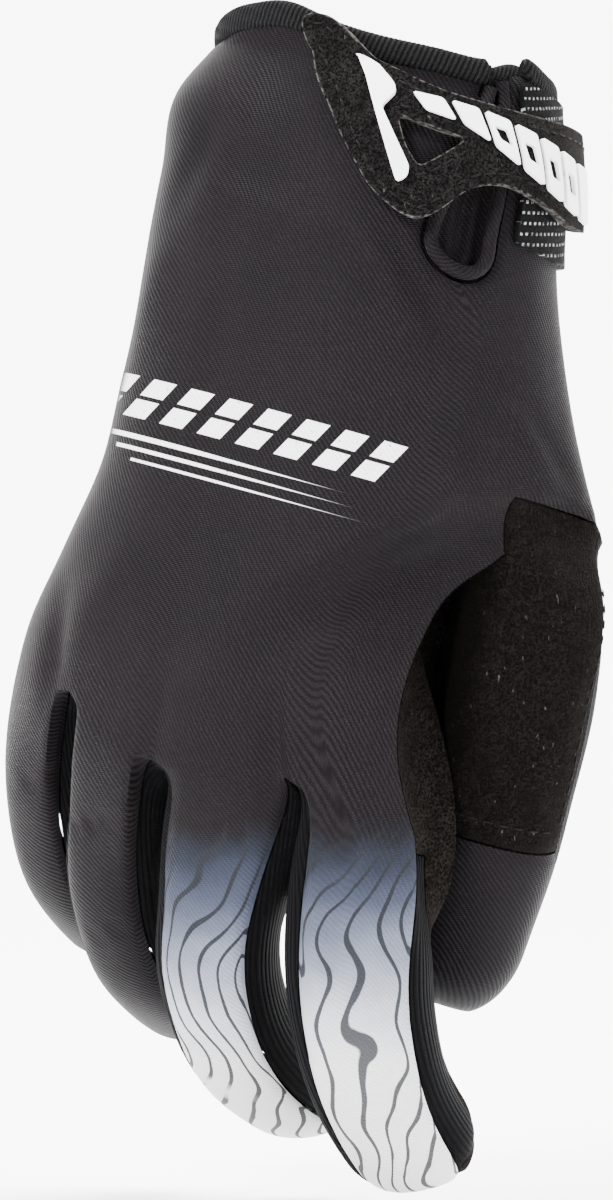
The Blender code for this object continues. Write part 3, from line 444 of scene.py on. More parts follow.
seam = 180 - SEAM_ANGLE
thumb_angles = np.concatenate([
    np.linspace(seam, -seam, FACES_THUMB + 1),
    np.linspace(-seam, seam - 360, FACES_SIDE + 1)[1:],
])
parted = np.concatenate([[1.0], np.zeros(FACES_THUMB - 1), np.ones(FACES_SIDE + 1)])
roots = thumb_ring(cuff[-1], hand[0]), thumb_ring(cuff[-2], hand[0])
thumb = finger_grid(THUMB, *roots, finer(thumb_angles), ease(finer(parted)), finer(THUMB_ROWS), 0.0)
tips = [grid[-1].mean(axis=0) * 1000 for grid in (*fingers, thumb)]
print("fingertips, mm:", [[round(float(v), 1) for v in tip] for tip in tips])

# %% [markdown]
# ## A map of lengths on the cloth
# A weave follows the cloth, not the room, so each grid gets a map in metres: u is the length along the ring
# from one column, v the length down from the rim. It goes on from the cuff into the hand and each finger,
# and the diagonal lines of the twill then run on unbroken, as on cloth cut in one piece.

# %% Lengths along the cloth
def cloth_map(grid, anchor, u_there, v_start):
    """u: sums of the steps round each ring. v: minus the sums of the steps down, less what goes sideways.

    A column may wander round the ring as it goes down. The part of its step that lies along the ring is
    taken off its length down, and at the anchor column it is added to u.
    """
    round_it = np.linalg.norm(np.diff(grid, axis=1), axis=-1)
    u = np.concatenate([np.zeros((len(grid), 1)), np.cumsum(round_it, axis=1)], axis=1)
    step = np.diff(grid, axis=0)
    along_ring = unit(np.gradient(grid, axis=1))
    along_ring = (along_ring[1:] + along_ring[:-1]) / 2
    sideways = (step * along_ring).sum(axis=-1)
    down = np.sqrt(np.maximum((step**2).sum(axis=-1) - sideways**2, 0))
    v = np.concatenate([np.zeros((1, grid.shape[1])), np.cumsum(down, axis=0)]) + v_start
    moved = np.concatenate([[0], np.cumsum(sideways[:, anchor])])[:, None]
    return np.stack([u - u[:, anchor : anchor + 1] + u_there + moved, -v], -1)


ANCHOR = BACK_FINE // 2
cuff_map = cloth_map(cuff, ANCHOR, 0.0, 0.0)
cuff_ends = -cuff_map[-1, :, 1]
hand_starts = np.concatenate([
    cuff_ends[: BACK_FINE + 1],
    np.full(SIDE_FINE - 1, cuff_ends[BACK_FINE]),
    cuff_ends[BACK_FINE + THUMB_FINE :],
])
hand_map = cloth_map(hand, ANCHOR, cuff_map[-1, ANCHOR, 0], hand_starts)
finger_maps = []
for k, grid in enumerate(fingers):
    starts = finger_ring(-hand_map[-1, :, 1:], k)[:, 0]
    middle = k * FINGER_FINE + FINGER_FINE // 2
    finger_maps.append(cloth_map(grid, FINGER_FINE // 2, hand_map[-1, middle, 0], starts))
thumb_starts = thumb_ring(-cuff_map[-1, :, 1:], -hand_map[0, :, 1:])[:, 0]
thumb_map = cloth_map(thumb, THUMB_FINE // 2, cuff_map[-1, BACK_FINE + THUMB_FINE // 2, 0], thumb_starts)
print("cloth round the knuckles, mm:", round(float(np.ptp(hand_map[-1, :, 0])) * 1000, 1))

# %% [markdown]
# ## Pieces of cloth
# The real glove is sewn from flat pieces: a stretch cloth for the back, suede for the palm and the tips,
# narrow knits between the fingers. Each face of a grid gets the number of its piece, by the same rows and
# columns as in the solids.

# %% Numbers of the pieces
PIECES = (
    "back_panel",
    "palm_panel",
    "fourchette_little_ring",
    "fourchette_ring_middle",
    "fourchette_middle_index",
    "index_side",
    "thumb_back",
    "thumb_patch",
    "thumb_palm",
)
BACK, PALM, FIRST_FOURCHETTE, INDEX_SIDE, THUMB_BACK, THUMB_PATCH, THUMB_PALM = 0, 1, 2, 5, 6, 7, 8
NO_PIECE = -1
SIDE_ROWS, PATCH_ROWS = 12, 8
PATCH_TOP = 7  # fine rows of the suede above the thumb's root, up to the foot of the fold


def numbered(shape, *parts):
    """Which piece each face belongs to. A part is (piece, rows, columns) of coarse faces."""
    numbers = np.full(shape, NO_PIECE)
    for piece, rows, columns in parts:
        numbers[rows, columns] = piece
    return np.repeat(np.repeat(numbers, FINE, axis=0), FINE, axis=1)


every = slice(None)
cuff_numbers = numbered(
    (len(CUFF_ROWS) - 1, (cuff.shape[1] - 1) // FINE),
    (BACK, every, every),
    (PALM, every, slice(BACK_COLUMNS + 6, BACK_COLUMNS + FACES_THUMB + BACK_COLUMNS)),
    (NO_PIECE, slice(0, SLIT_ROWS), SLIT_FIRST),
)
cuff_numbers[-PATCH_TOP:, BACK_FINE : BACK_FINE + 4 * FINE] = THUMB_PATCH
hand_numbers = numbered(
    (len(HAND_ROWS) - 1, (hand.shape[1] - 1) // FINE),
    (BACK, every, every),
    (PALM, every, slice(BACK_COLUMNS, 2 * BACK_COLUMNS + FACES_SIDE)),
)
thumb_numbers = numbered(
    (len(THUMB_ROWS) - 1, (thumb.shape[1] - 1) // FINE),
    (THUMB_PALM, every, every),
    (THUMB_BACK, every, slice(0, 6)),
    (THUMB_PATCH, slice(0, PATCH_ROWS), slice(0, 4)),
    (THUMB_PATCH, slice(0, PATCH_ROWS), slice(FACES_THUMB, None)),
)


def finger_numbers(k):
    """The pieces of finger k: suede all round, then the back, then the narrow sides over it."""
    index_columns = slice(FACES_BACK, FACES_BACK + FACES_SIDE)
    little_columns = slice(2 * FACES_BACK + FACES_SIDE, None)
    rows = slice(0, SIDE_ROWS)
    parts = [(PALM, every, every), (BACK, every, slice(0, FACES_BACK))]
    if k < 3:
        parts.append((FIRST_FOURCHETTE + k, rows, index_columns))
    else:
        parts.append((INDEX_SIDE, rows, slice(FACES_BACK, FACES_BACK + 2)))
    parts.append((FIRST_FOURCHETTE + k - 1 if k > 0 else BACK, rows, little_columns))
    return numbered((len(FINGER_ROWS) - 1, (fingers[k].shape[1] - 1) // FINE), *parts)

# %% One skin from all grids
def corners_of(values):
    """For each face of a grid, what its four corners hold, the way round that faces outwards."""
    return np.stack([values[:-1, :-1], values[1:, :-1], values[1:, 1:], values[:-1, 1:]], 2)


grids = [(cuff, cuff_map, cuff_numbers), (hand, hand_map, hand_numbers)]
grids += [(fingers[k], finger_maps[k], finger_numbers(k)) for k in range(len(FINGERS))]
grids.append((thumb, thumb_map, thumb_numbers))
all_points, all_faces, all_maps, all_numbers, printed, start = [], [], [], [], [], 0
for number, (grid, lengths, numbers) in enumerate(grids):
    index = np.arange(grid.shape[0] * grid.shape[1]).reshape(grid.shape[:2]) + start
    all_points.append(grid.reshape(-1, 3))
    all_faces.append(corners_of(index).reshape(-1, 4))
    all_maps.append(corners_of(lengths).reshape(-1, 4, 2))
    all_numbers.append(numbers.reshape(-1))
    columns = np.broadcast_to(np.arange(numbers.shape[1]), numbers.shape).reshape(-1)
    over_them = (number == 1) & (columns >= 2 * FINGER_FINE) & (columns < BACK_FINE)
    printed.append(over_them | (number in (4, 5)))
    start += index.size
all_points, all_faces, all_maps = (np.concatenate(v) for v in (all_points, all_faces, all_maps))
all_numbers, printed = np.concatenate(all_numbers), np.concatenate(printed)
_, kept, same = np.unique(np.round(all_points, 7), axis=0, return_index=True, return_inverse=True)
plain_skin, skin_faces = all_points[kept], same.reshape(-1)[all_faces]
skin = plain_skin
print("points and faces of the skin:", len(skin), len(skin_faces))

# %% [markdown]
# ## Wrinkles
# Stretch cloth on a hand has few wrinkles: drag lines from the slit and from the webs, a soft crease at each
# joint, and creases across the palm. Each is one row of a table, a hill or a hollow along a short line in
# the front view, and the skin is moved along its own normals by their sum. A cloth simulation would give
# more of them, but not at the places where this glove has them.

# %% Wrinkles from a table
MM = 0.001
Wrinkle = namedtuple("Wrinkle", "x z angle length width height")  # millimetres, and degrees from level
BACK_WRINKLES = (
    Wrinkle(8, -46, -62, 16, 3.2, -0.7),
    Wrinkle(2, -40, -50, 18, 3.4, 0.6),
    Wrinkle(-6, -34, -38, 22, 4.0, -0.5),
    Wrinkle(-20, -26, -20, 24, 5.0, 0.5),
    Wrinkle(18, -56, -48, 14, 3.0, -0.6),
    Wrinkle(24, -64, -52, 15, 3.0, 0.6),
    Wrinkle(30, -70, -58, 12, 2.4, -0.5),
    Wrinkle(-36, -18, 66, 16, 3.6, -0.5),
    Wrinkle(-44, -40, 74, 20, 5.0, 0.5),
    Wrinkle(6, -88, 22, 16, 2.8, 0.7),
    Wrinkle(-2, -95, 34, 18, 3.6, -0.7),
    Wrinkle(-10, -104, 42, 16, 4.0, 0.5),
    Wrinkle(14, -78, 8, 12, 2.6, 0.5),
    Wrinkle(-62, -108, 82, 14, 2.8, -0.8),
    Wrinkle(-44, -122, 78, 16, 3.2, -0.8),
    Wrinkle(-21, -126, 84, 14, 3.0, -0.7),
    Wrinkle(-54, -98, 60, 18, 6.0, 0.5),
    Wrinkle(-30, -108, 70, 20, 7.0, 0.5),
    Wrinkle(-34, -150, 8, 9, 1.8, -0.5),
    Wrinkle(-10, -148, 0, 9, 1.6, -0.3),
    Wrinkle(-8, -152, -6, 9, 1.8, 0.3),
    Wrinkle(-30, -172, 20, 8, 1.6, -0.4),
    Wrinkle(-4, -176, 4, 10, 1.6, -0.4),
    Wrinkle(-56, -140, 10, 8, 1.6, -0.5),
    Wrinkle(-52, -160, 22, 7, 1.5, -0.4),
    Wrinkle(-66, -132, 12, 7, 1.5, -0.4),
)
PALM_WRINKLES = (
    Wrinkle(-10, -50, -18, 26, 3.0, -1.0),
    Wrinkle(-14, -57, -14, 24, 3.0, 0.7),
    Wrinkle(-20, -92, 24, 26, 2.6, -1.1),
    Wrinkle(-26, -100, 28, 22, 2.6, 0.8),
    Wrinkle(-34, -112, 14, 26, 2.8, -0.9),
    Wrinkle(-6, -74, 64, 22, 3.2, -1.0),
    Wrinkle(8, -84, 58, 16, 2.8, 0.7),
    Wrinkle(-44, -74, 80, 20, 3.0, -0.7),
    Wrinkle(4, -24, -8, 24, 3.4, -0.7),
)
WRINKLE_SCALE = 1.5  # how much higher than its table each wrinkle stands


def relief(points, normals, table, facing):
    """The sum of the table's rows: each scaled height times a bell across its line and one along it."""
    out = np.zeros(len(points))
    shown = ease(-facing * normals[:, 1] * 2.2)
    for row in table:
        a = math.radians(row.angle)
        x, z = points[:, 0] - row.x * MM, points[:, 2] - row.z * MM
        along = (x * math.cos(a) + z * math.sin(a)) / (row.length * MM)
        across = (z * math.cos(a) - x * math.sin(a)) / (row.width * MM)
        out += WRINKLE_SCALE * row.height * MM * np.exp(-(along**2) * 2 - across**2 * 2)
    return out * shown


def point_normals(points, faces):
    """Outward normals: the cross products of the faces' diagonals, summed at each point."""
    across = np.cross(points[faces[:, 2]] - points[faces[:, 0]], points[faces[:, 3]] - points[faces[:, 1]])
    normals = np.zeros_like(points)
    for k in range(4):
        np.add.at(normals, faces[:, k], across)
    return unit(normals)


def slow_waves(points):
    """A faint unevenness of the whole skin: three sines of different lengths and directions."""
    x, y, z = points.T / MM
    waves = np.sin(x / 5.1 + z / 8.3) + np.sin(y / 4.3 - z / 6.1 + 1.3)
    waves = waves + np.sin(x / 7.7 - y / 5.9 + z / 4.9 + 2.1)
    return waves * 0.00006


skin_normals = point_normals(skin, skin_faces)
lift = relief(skin, skin_normals, BACK_WRINKLES, 1) + relief(skin, skin_normals, PALM_WRINKLES, -1)
skin = skin + skin_normals * (lift + slow_waves(skin))[:, None]
skin_normals = point_normals(skin, skin_faces)
least, most = (round(float(v) / MM, 2) for v in (lift.min(), lift.max()))
print("wrinkles move the cloth, mm:", least, "to", most)

# %% [markdown]
# ## From faces to a wall
# Cloth has a thickness, and where two pieces are sewn together both edges roll in. So each piece gets an
# inner surface one wall below, a strip round its border, and a dip near the border that makes the seam.

# %% A wall from a sheet of faces
SEAM_PULL = 0.00022
SEAM_DIP = 0.00050
SEAM_REACH = 0.0018


def distance_to(points, targets):
    """For each point the distance to the nearest target, in blocks to save memory."""
    out = np.empty(len(points))
    for begin in range(0, len(points), 2000):
        block = points[begin : begin + 2000]
        square = (block**2).sum(axis=1)[:, None] + (targets**2).sum(axis=1) - 2 * block @ targets.T
        out[begin : begin + 2000] = np.sqrt(np.maximum(square.min(axis=1), 0))
    return out


def wall(points, normals, faces, maps, thickness, pull=0.0, dip=0.0):
    """Outer surface, inner surface and border strip. Returns points, faces and the maps of the corners."""
    used, local = np.unique(faces, return_inverse=True)
    faces = local.reshape(faces.shape)
    outer, normal, count = points[used], normals[used], len(used)
    a, b = faces, np.roll(faces, -1, axis=1)
    lonely = ~np.isin((a * count + b).ravel(), (b * count + a).ravel()) & (a != b).ravel()
    begin, end = a.ravel()[lonely], b.ravel()[lonely]
    inward = np.zeros_like(outer)
    way = unit(np.cross(normal[begin] + normal[end], outer[end] - outer[begin]))
    np.add.at(inward, begin, way)
    np.add.at(inward, end, way)
    if dip:
        near = 1 - ease(distance_to(outer, outer[np.unique(begin)]) / SEAM_REACH)
        outer = outer - normal * (dip * near)[:, None]
    outer = outer + unit(inward) * pull
    inner = outer - normal * thickness
    strip = np.stack([end, begin, begin + count, end + count], -1)
    all_of_them = np.concatenate([faces, faces[:, ::-1] + count, strip])
    result = {}
    for name, values in maps.items():
        first_end = values.reshape(-1, 2)[lonely]
        last_end = np.roll(values, -1, axis=1).reshape(-1, 2)[lonely]
        sides = np.stack([last_end, first_end, first_end, last_end], 1)
        result[name] = np.concatenate([values, values[:, ::-1], sides])
    return np.concatenate([outer, inner]), all_of_them, result

# %% A mesh object from arrays
def make_piece(name, points, faces, maps=None, sharp=48.0):
    """A mesh from whole arrays. A face that repeats a corner is a triangle, and is written as one."""
    if faces.shape[1] == 3:
        faces = np.concatenate([faces, faces[:, 2:]], axis=1)
        maps = {key: np.concatenate([v, v[:, 2:]], axis=1) for key, v in (maps or {}).items()}
    keep = faces != np.roll(faces, 1, axis=1)
    good = keep.sum(axis=1) > 2
    faces, keep = faces[good], keep[good]
    corners = faces[keep].astype(np.int32)
    starts = np.concatenate([[0], np.cumsum(keep.sum(axis=1))[:-1]]).astype(np.int32)
    mesh = bpy.data.meshes.new(name)
    mesh.vertices.add(len(points))
    mesh.vertices.foreach_set("co", turned(points).astype(np.float32).ravel())
    mesh.loops.add(len(corners))
    mesh.loops.foreach_set("vertex_index", corners)
    mesh.polygons.add(len(starts))
    mesh.polygons.foreach_set("loop_start", starts)
    mesh.update(calc_edges=True)
    for key, values in (maps or {}).items():
        layer = mesh.uv_layers.new(name=key)
        layer.uv.foreach_set("vector", values[good][keep].astype(np.float32).ravel())
    mesh.validate()
    mesh.shade_smooth()
    mesh.set_sharp_from_angle(angle=math.radians(sharp))
    made = bpy.data.objects.new(name, mesh)
    bpy.context.scene.collection.objects.link(made)
    return made


def seat(piece, slot, finish, *nodes):
    """The piece's body and finish, and the solids that it stands for, which it hides. The slot is not used.
    """
    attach(piece, "root")
    if nodes:
        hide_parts(*nodes)
    piece.data.materials.append(finish)

# %% [markdown]
# ## Helpers for finishes
# A finish is a small net of nodes. These helpers add a node, do sums, and read the map of lengths on the
# cloth, so that a weave is written as a formula: the sine of a length divided by the width of one line.

# %% Nodes
def new_finish(name, roughness, sheen=0.0, sheen_roughness=0.4, tint=(1, 1, 1), specular=0.04):
    """A material whose shader has its plain numbers on its own sockets."""
    finish = bpy.data.materials.new(name)
    finish.use_nodes = True
    shader = finish.node_tree.nodes["Principled BSDF"]
    shader.inputs["Roughness"].default_value = roughness
    shader.inputs["Specular IOR Level"].default_value = specular
    shader.inputs["Sheen Weight"].default_value = sheen
    shader.inputs["Sheen Roughness"].default_value = sheen_roughness
    shader.inputs["Sheen Tint"].default_value = (*tint, 1)
    return finish


def node(finish, kind, inputs=None, **settings):
    """Adds a node. A value in inputs is a number, a colour or another node's output."""
    made = finish.node_tree.nodes.new(kind)
    for key, value in settings.items():
        setattr(made, key, value)
    for key, value in (inputs or {}).items():
        if isinstance(value, bpy.types.NodeSocket):
            finish.node_tree.links.new(value, made.inputs[key])
        else:
            made.inputs[key].default_value = value
    return made


def calc(finish, operation, a, b=0.0, c=0.0):
    """One sum of up to three values or outputs."""
    return node(finish, "ShaderNodeMath", {0: a, 1: b, 2: c}, operation=operation).outputs[0]


def step_up(finish, value, low, high):
    """0 below low and 1 above high, with a smooth step between."""
    inputs = {"Value": value, "From Min": low, "From Max": high}
    made = node(finish, "ShaderNodeMapRange", inputs, interpolation_type="SMOOTHSTEP")
    return made.outputs["Result"]


def mixed(finish, share, first, second):
    """One colour blended into another. A colour is three numbers or an output."""
    made = node(finish, "ShaderNodeMix", data_type="RGBA")
    for place, value in ((0, share), (6, first), (7, second)):
        if isinstance(value, bpy.types.NodeSocket):
            finish.node_tree.links.new(value, made.inputs[place])
        elif place == 0:
            made.inputs[place].default_value = value
        else:
            made.inputs[place].default_value = (*value, 1)
    return made.outputs[2]


def lengths(finish, turn=0.0):
    """The x and y of the cloth's map of lengths, turned by degrees."""
    uv = node(finish, "ShaderNodeUVMap", uv_map="cloth").outputs[0]
    inputs = {"Vector": uv, "Rotation": (0, 0, math.radians(turn))}
    moved = node(finish, "ShaderNodeMapping", inputs).outputs[0]
    parts = node(finish, "ShaderNodeSeparateXYZ", {0: moved})
    return parts.outputs[0], parts.outputs[1], moved


def wave(finish, length, pitch):
    """A sine from 0 to 1 that repeats after each pitch."""
    raw = calc(finish, "SINE", calc(finish, "MULTIPLY", length, 2 * math.pi / pitch))
    return calc(finish, "MULTIPLY_ADD", raw, 0.5, 0.5)


def noise(finish, vector, scale, detail=3.0, roughness=0.55):
    """Cloudy values from 0 to 1, so many to the metre."""
    inputs = {"Vector": vector, "Scale": scale, "Detail": detail, "Roughness": roughness}
    return node(finish, "ShaderNodeTexNoise", inputs).outputs[0]


def place(finish):
    """A point's place on the object, in metres."""
    return node(finish, "ShaderNodeTexCoord").outputs["Object"]


def connect(finish, colour, height=None, depth=0.0002, roughness=None, strength=1.0):
    """Colour, bump and roughness into the shader."""
    shader = finish.node_tree.nodes["Principled BSDF"]
    finish.node_tree.links.new(colour, shader.inputs["Base Color"])
    if height is not None:
        bump = node(finish, "ShaderNodeBump", {"Height": height, "Distance": depth, "Strength": strength})
        finish.node_tree.links.new(bump.outputs[0], shader.inputs["Normal"])
    if roughness is not None:
        finish.node_tree.links.new(roughness, shader.inputs["Roughness"])

# %% [markdown]
# ## Stretch twill
# The back is a thin polyester twill: fine diagonal lines, black with a faint warm cast, and a soft sheen
# where the light grazes it. The lines are the sine of a length across them, broken up by the yarns that
# cross them. The print is part of the cloth, so it is in the same finish: a fade from black over slate grey
# to off-white on two fingers, with generic wavy lines, and a row of slanted bars with three stripes across
# the back.

# %% Twill
WALE = 0.00076
YARN = 0.00046
# From the painted shade in the weave's hollows to the painted sheen on its raised yarns.
BLACK_LOW, BLACK_HIGH = (0.0002, 0.0002, 0.0002), (0.0088, 0.0070, 0.0084)


def twill_weave(finish, turn=-46.0):
    """Height of the weave from 0 to 1: diagonal lines times the rounding of each yarn."""
    across, along, _ = lengths(finish, turn=turn)
    wobble = noise(finish, place(finish), 900.0, 2.0)
    bent = calc(finish, "MULTIPLY_ADD", wobble, WALE * 0.4, across)
    line = calc(finish, "MULTIPLY_ADD", wave(finish, bent, WALE), 0.72, 0.28)
    yarn = wave(finish, calc(finish, "MULTIPLY_ADD", across, 0.6, along), YARN)
    return calc(finish, "MULTIPLY", line, calc(finish, "MULTIPLY_ADD", yarn, 0.55, 0.45))


def black_twill(finish, weave):
    """The cloth's colour: near black in the weave's hollows and lighter on its raised yarns, a painted shade
    and sheen of the weave, with slow random changes of tone.
    """
    cloud = noise(finish, place(finish), 60.0, 4.0)
    speck = noise(finish, place(finish), 2600.0, 1.0)
    shade = calc(finish, "MULTIPLY", weave, calc(finish, "MULTIPLY_ADD", cloud, 0.7, 0.65))
    shade = calc(finish, "MULTIPLY", shade, calc(finish, "MULTIPLY_ADD", speck, 1.1, 0.45))
    return mixed(finish, shade, BLACK_LOW, BLACK_HIGH)


def twill_finish():
    finish = new_finish("stretch_twill", 0.55, sheen=0.02, sheen_roughness=0.35, tint=(0.75, 0.68, 0.70))
    weave = twill_weave(finish)
    connect(finish, black_twill(finish, weave), weave, 0.00016)
    return finish

# %% [markdown]
# ## The print
# Both parts are masks worked out in the flat front map, as a screen print is laid on a flat blank before the
# cloth is sewn. A bar is where the remainder of a length lies below a share of the pitch, and a stripe is
# where the distance from its line is under its half width, which shrinks along it.

# %% Print masks
PRINT_AT = (-0.0502, -0.0548)  # the row's upper left corner in the front map
PRINT_SLOPE = -15.8
ROW_LENGTH, ROW_HEIGHT = 0.0590, 0.0078
BAR_PITCH, BAR_SHARE, BAR_LEAN = 0.00738, 0.62, 0.55
STRIPES = ((-0.0112, 0.0010), (-0.0134, 0.0008), (-0.0155, 0.0006))  # how far below the row's top, and width
SOFT = 0.00010  # the soft edge of the ink


def band(finish, value, low, high, soft=SOFT):
    """1 between low and high, which are numbers or outputs, and 0 outside."""
    over = calc(finish, "SUBTRACT", value, low)
    above = node(finish, "ShaderNodeMapRange", {"Value": over, "From Max": soft})
    under = calc(finish, "SUBTRACT", high, value)
    below = node(finish, "ShaderNodeMapRange", {"Value": under, "From Max": soft})
    return calc(finish, "MULTIPLY", above.outputs[0], below.outputs[0])


def row_of_bars(finish, x, y):
    """Slanted bars: a length along the row, less the lean times the height, cut by its remainder."""
    slanted = calc(finish, "MULTIPLY_ADD", y, -BAR_LEAN, x)
    part = calc(finish, "FLOORED_MODULO", slanted, BAR_PITCH)
    bars = band(finish, part, 0.0, BAR_PITCH * BAR_SHARE)
    row = calc(finish, "MULTIPLY", band(finish, slanted, 0.0, ROW_LENGTH), band(finish, y, -ROW_HEIGHT, 0.0))
    cut = band(finish, y, -ROW_HEIGHT * 0.56, -ROW_HEIGHT * 0.44)
    return calc(finish, "MULTIPLY", calc(finish, "MULTIPLY", bars, row), calc(finish, "SUBTRACT", 1.0, cut))


def stripes(finish, x, y):
    """Thin stripes below the row, each a line whose width tapers to nothing at its right end."""
    total = 0.0
    for k, (down, width) in enumerate(STRIPES):
        first = 0.0035 * k
        last = 0.0500 + 0.0028 * k
        left = step_up(finish, x, last, first + 0.012)
        half = calc(finish, "MULTIPLY", left, width / 2)
        off = calc(finish, "ABSOLUTE", calc(finish, "SUBTRACT", y, down))
        short = calc(finish, "SUBTRACT", half, off)
        line = node(finish, "ShaderNodeMapRange", {"Value": short, "From Max": SOFT})
        inked = calc(finish, "MULTIPLY", line.outputs[0], band(finish, x, first, last))
        total = calc(finish, "MAXIMUM", inked, total)
    return total


def print_mask(finish):
    """Where the white ink lies on the back of the hand, only on the side that faces the front."""
    x0, z0 = PRINT_AT
    uv = node(finish, "ShaderNodeUVMap", uv_map="front").outputs[0]
    moved = node(finish, "ShaderNodeVectorMath", {0: uv, 1: (x0, z0, 0)}, operation="SUBTRACT").outputs[0]
    angle = math.radians(-PRINT_SLOPE)
    turn = node(finish, "ShaderNodeMapping", {"Vector": moved, "Rotation": (0, 0, angle)}).outputs[0]
    parts = node(finish, "ShaderNodeSeparateXYZ", {0: turn})
    x, y = parts.outputs[0], parts.outputs[1]
    inked = calc(finish, "MAXIMUM", row_of_bars(finish, x, y), stripes(finish, x, y))
    wear = step_up(finish, noise(finish, place(finish), 1500.0, 2.0), 0.22, 0.36)
    return calc(finish, "MULTIPLY", inked, wear)

# %% The fade on two fingers
FADE = ((-0.1385, (0.005, 0.005, 0.006)), (-0.1450, (0.012, 0.014, 0.021)), (-0.1525, (0.034, 0.040, 0.060)))
FADE += ((-0.1582, (0.072, 0.081, 0.112)), (-0.1638, (0.135, 0.148, 0.188)), (-0.1695, (0.24, 0.255, 0.30)))
FADE += ((-0.1751, (0.38, 0.39, 0.43)), (-0.1845, (0.60, 0.60, 0.62)), (-0.2100, (0.76, 0.75, 0.74)))


def faded(finish, weave):
    """The fade's colours by height, with the weave and the wavy lines in it. It starts from the black."""
    uv = node(finish, "ShaderNodeUVMap", uv_map="front").outputs[0]
    height = node(finish, "ShaderNodeSeparateXYZ", {0: uv}).outputs[1]
    cloud = noise(finish, place(finish), 70.0, 2.0)
    height = calc(finish, "MULTIPLY_ADD", calc(finish, "SUBTRACT", cloud, 0.5), 0.010, height)
    top, foot = FADE[0][0], FADE[-1][0]
    share = calc(finish, "DIVIDE", calc(finish, "SUBTRACT", height, top), foot - top)
    ramp = node(finish, "ShaderNodeValToRGB", {0: share})
    stops = ramp.color_ramp.elements
    while len(stops) < len(FADE):
        stops.new(0.5)
    for stop, (level, colour) in zip(stops, FADE):
        stop.position = (level - top) / (foot - top)
        stop.color = (*colour, 1)
    # The weave darkens the fade's colour in its hollows: painted shade of the weave.
    shade = calc(finish, "MULTIPLY_ADD", weave, 0.34, 0.70)
    woven = mixed(finish, shade, (0, 0, 0), ramp.outputs[0])
    drawn = mixed(finish, wavy_lines(finish), woven, (0.010, 0.011, 0.013))
    return mixed(finish, step_up(finish, share, -0.01, 0.09), black_twill(finish, weave), drawn)


def wavy_lines(finish):
    """Thin lines that run down the finger and sway: the edge of each band of a length bent by noise."""
    u, v, moved = lengths(finish, turn=14.0)
    sway = noise(finish, moved, 40.0, 1.0, 0.3)
    bent = calc(finish, "MULTIPLY_ADD", sway, 0.026, calc(finish, "MULTIPLY_ADD", v, 0.10, u))
    part = calc(finish, "FLOORED_MODULO", bent, 0.0042)
    thin = calc(finish, "MULTIPLY_ADD", noise(finish, moved, 120.0, 1.0), 0.0010, 0.00034)
    line = band(finish, part, 0.0, thin, 0.00010)
    gaps = step_up(finish, noise(finish, moved, 50.0, 1.0), 0.24, 0.34)
    return calc(finish, "MULTIPLY", line, calc(finish, "MULTIPLY", gaps, 0.93))


def back_finish():
    """Twill with the print and the fade. The second map's mask says which faces are the two fingers'."""
    finish = new_finish("printed_twill", 0.55, sheen=0.02, sheen_roughness=0.35, tint=(0.75, 0.68, 0.70))
    weave = twill_weave(finish)
    mask_uv = node(finish, "ShaderNodeUVMap", uv_map="mask").outputs[0]
    mask = node(finish, "ShaderNodeSeparateXYZ", {0: mask_uv})
    colour = mixed(finish, mask.outputs[0], black_twill(finish, weave), faded(finish, weave))
    # The white ink is darker in the weave's hollows and lighter on its raised yarns: painted shade of the
    # weave.
    ink = mixed(finish, weave, (0.60, 0.60, 0.60), (0.86, 0.86, 0.86))
    colour = mixed(finish, calc(finish, "MULTIPLY", print_mask(finish), mask.outputs[1]), colour, ink)
    connect(finish, colour, weave, 0.00016)
    return finish

# %% [markdown]
# ## Suede, knits, tape and rubber
# The palm's suede is a microfibre with a short nap: blotches where the nap lies one way or the other, a fine
# grain, and a few pale fibres. The knits have ribs along the finger, the tape has ribs across it, and the
# loop cloth has rows of pale loops. The white rubber is matt, with faint specks of dust.

# %% Suede
SUEDE_LOW, SUEDE_HIGH, FIBRE = (0.0006, 0.0005, 0.0004), (0.0105, 0.0084, 0.0072), (0.040, 0.036, 0.033)


def suede_finish(name, low=SUEDE_LOW, high=SUEDE_HIGH, cut_edge=False):
    """Grain and nap as noise, a few long thin fibres, and on a cut sheet a pale broken rim."""
    finish = new_finish(name, 0.95, sheen=0.02, sheen_roughness=0.55, tint=(0.60, 0.53, 0.50), specular=0.02)
    here = place(finish)
    nap = noise(finish, here, 330.0, 4.0, 0.65)
    grain = noise(finish, here, 2100.0, 2.0, 0.7)
    soft = calc(finish, "MULTIPLY_ADD", step_up(finish, nap, 0.30, 0.72), 0.7, 0.5)
    shade = calc(finish, "MULTIPLY", soft, step_up(finish, grain, 0.38, 0.66))
    colour = mixed(finish, shade, low, high)
    inputs = {"Vector": here, "Scale": (1500.0, 1500.0, 520.0), "Rotation": (0.3, 0.2, 0.0)}
    stretched = node(finish, "ShaderNodeMapping", inputs).outputs[0]
    fibres = step_up(finish, noise(finish, stretched, 1.0, 1.0), 0.72, 0.80)
    colour = mixed(finish, calc(finish, "MULTIPLY", fibres, 0.7), colour, FIBRE)
    if cut_edge:
        uv = node(finish, "ShaderNodeUVMap", uv_map="rim").outputs[0]
        away = node(finish, "ShaderNodeSeparateXYZ", {0: uv}).outputs[0]
        near = calc(finish, "SUBTRACT", 1.0, step_up(finish, away, 0.00002, 0.00034))
        broken = step_up(finish, noise(finish, here, 900.0, 3.0), 0.40, 0.62)
        colour = mixed(finish, calc(finish, "MULTIPLY", near, broken), colour, (0.050, 0.047, 0.045))
    height = calc(finish, "MULTIPLY_ADD", grain, 0.8, calc(finish, "MULTIPLY", nap, 0.6))
    connect(finish, colour, height, 0.00045)
    return finish

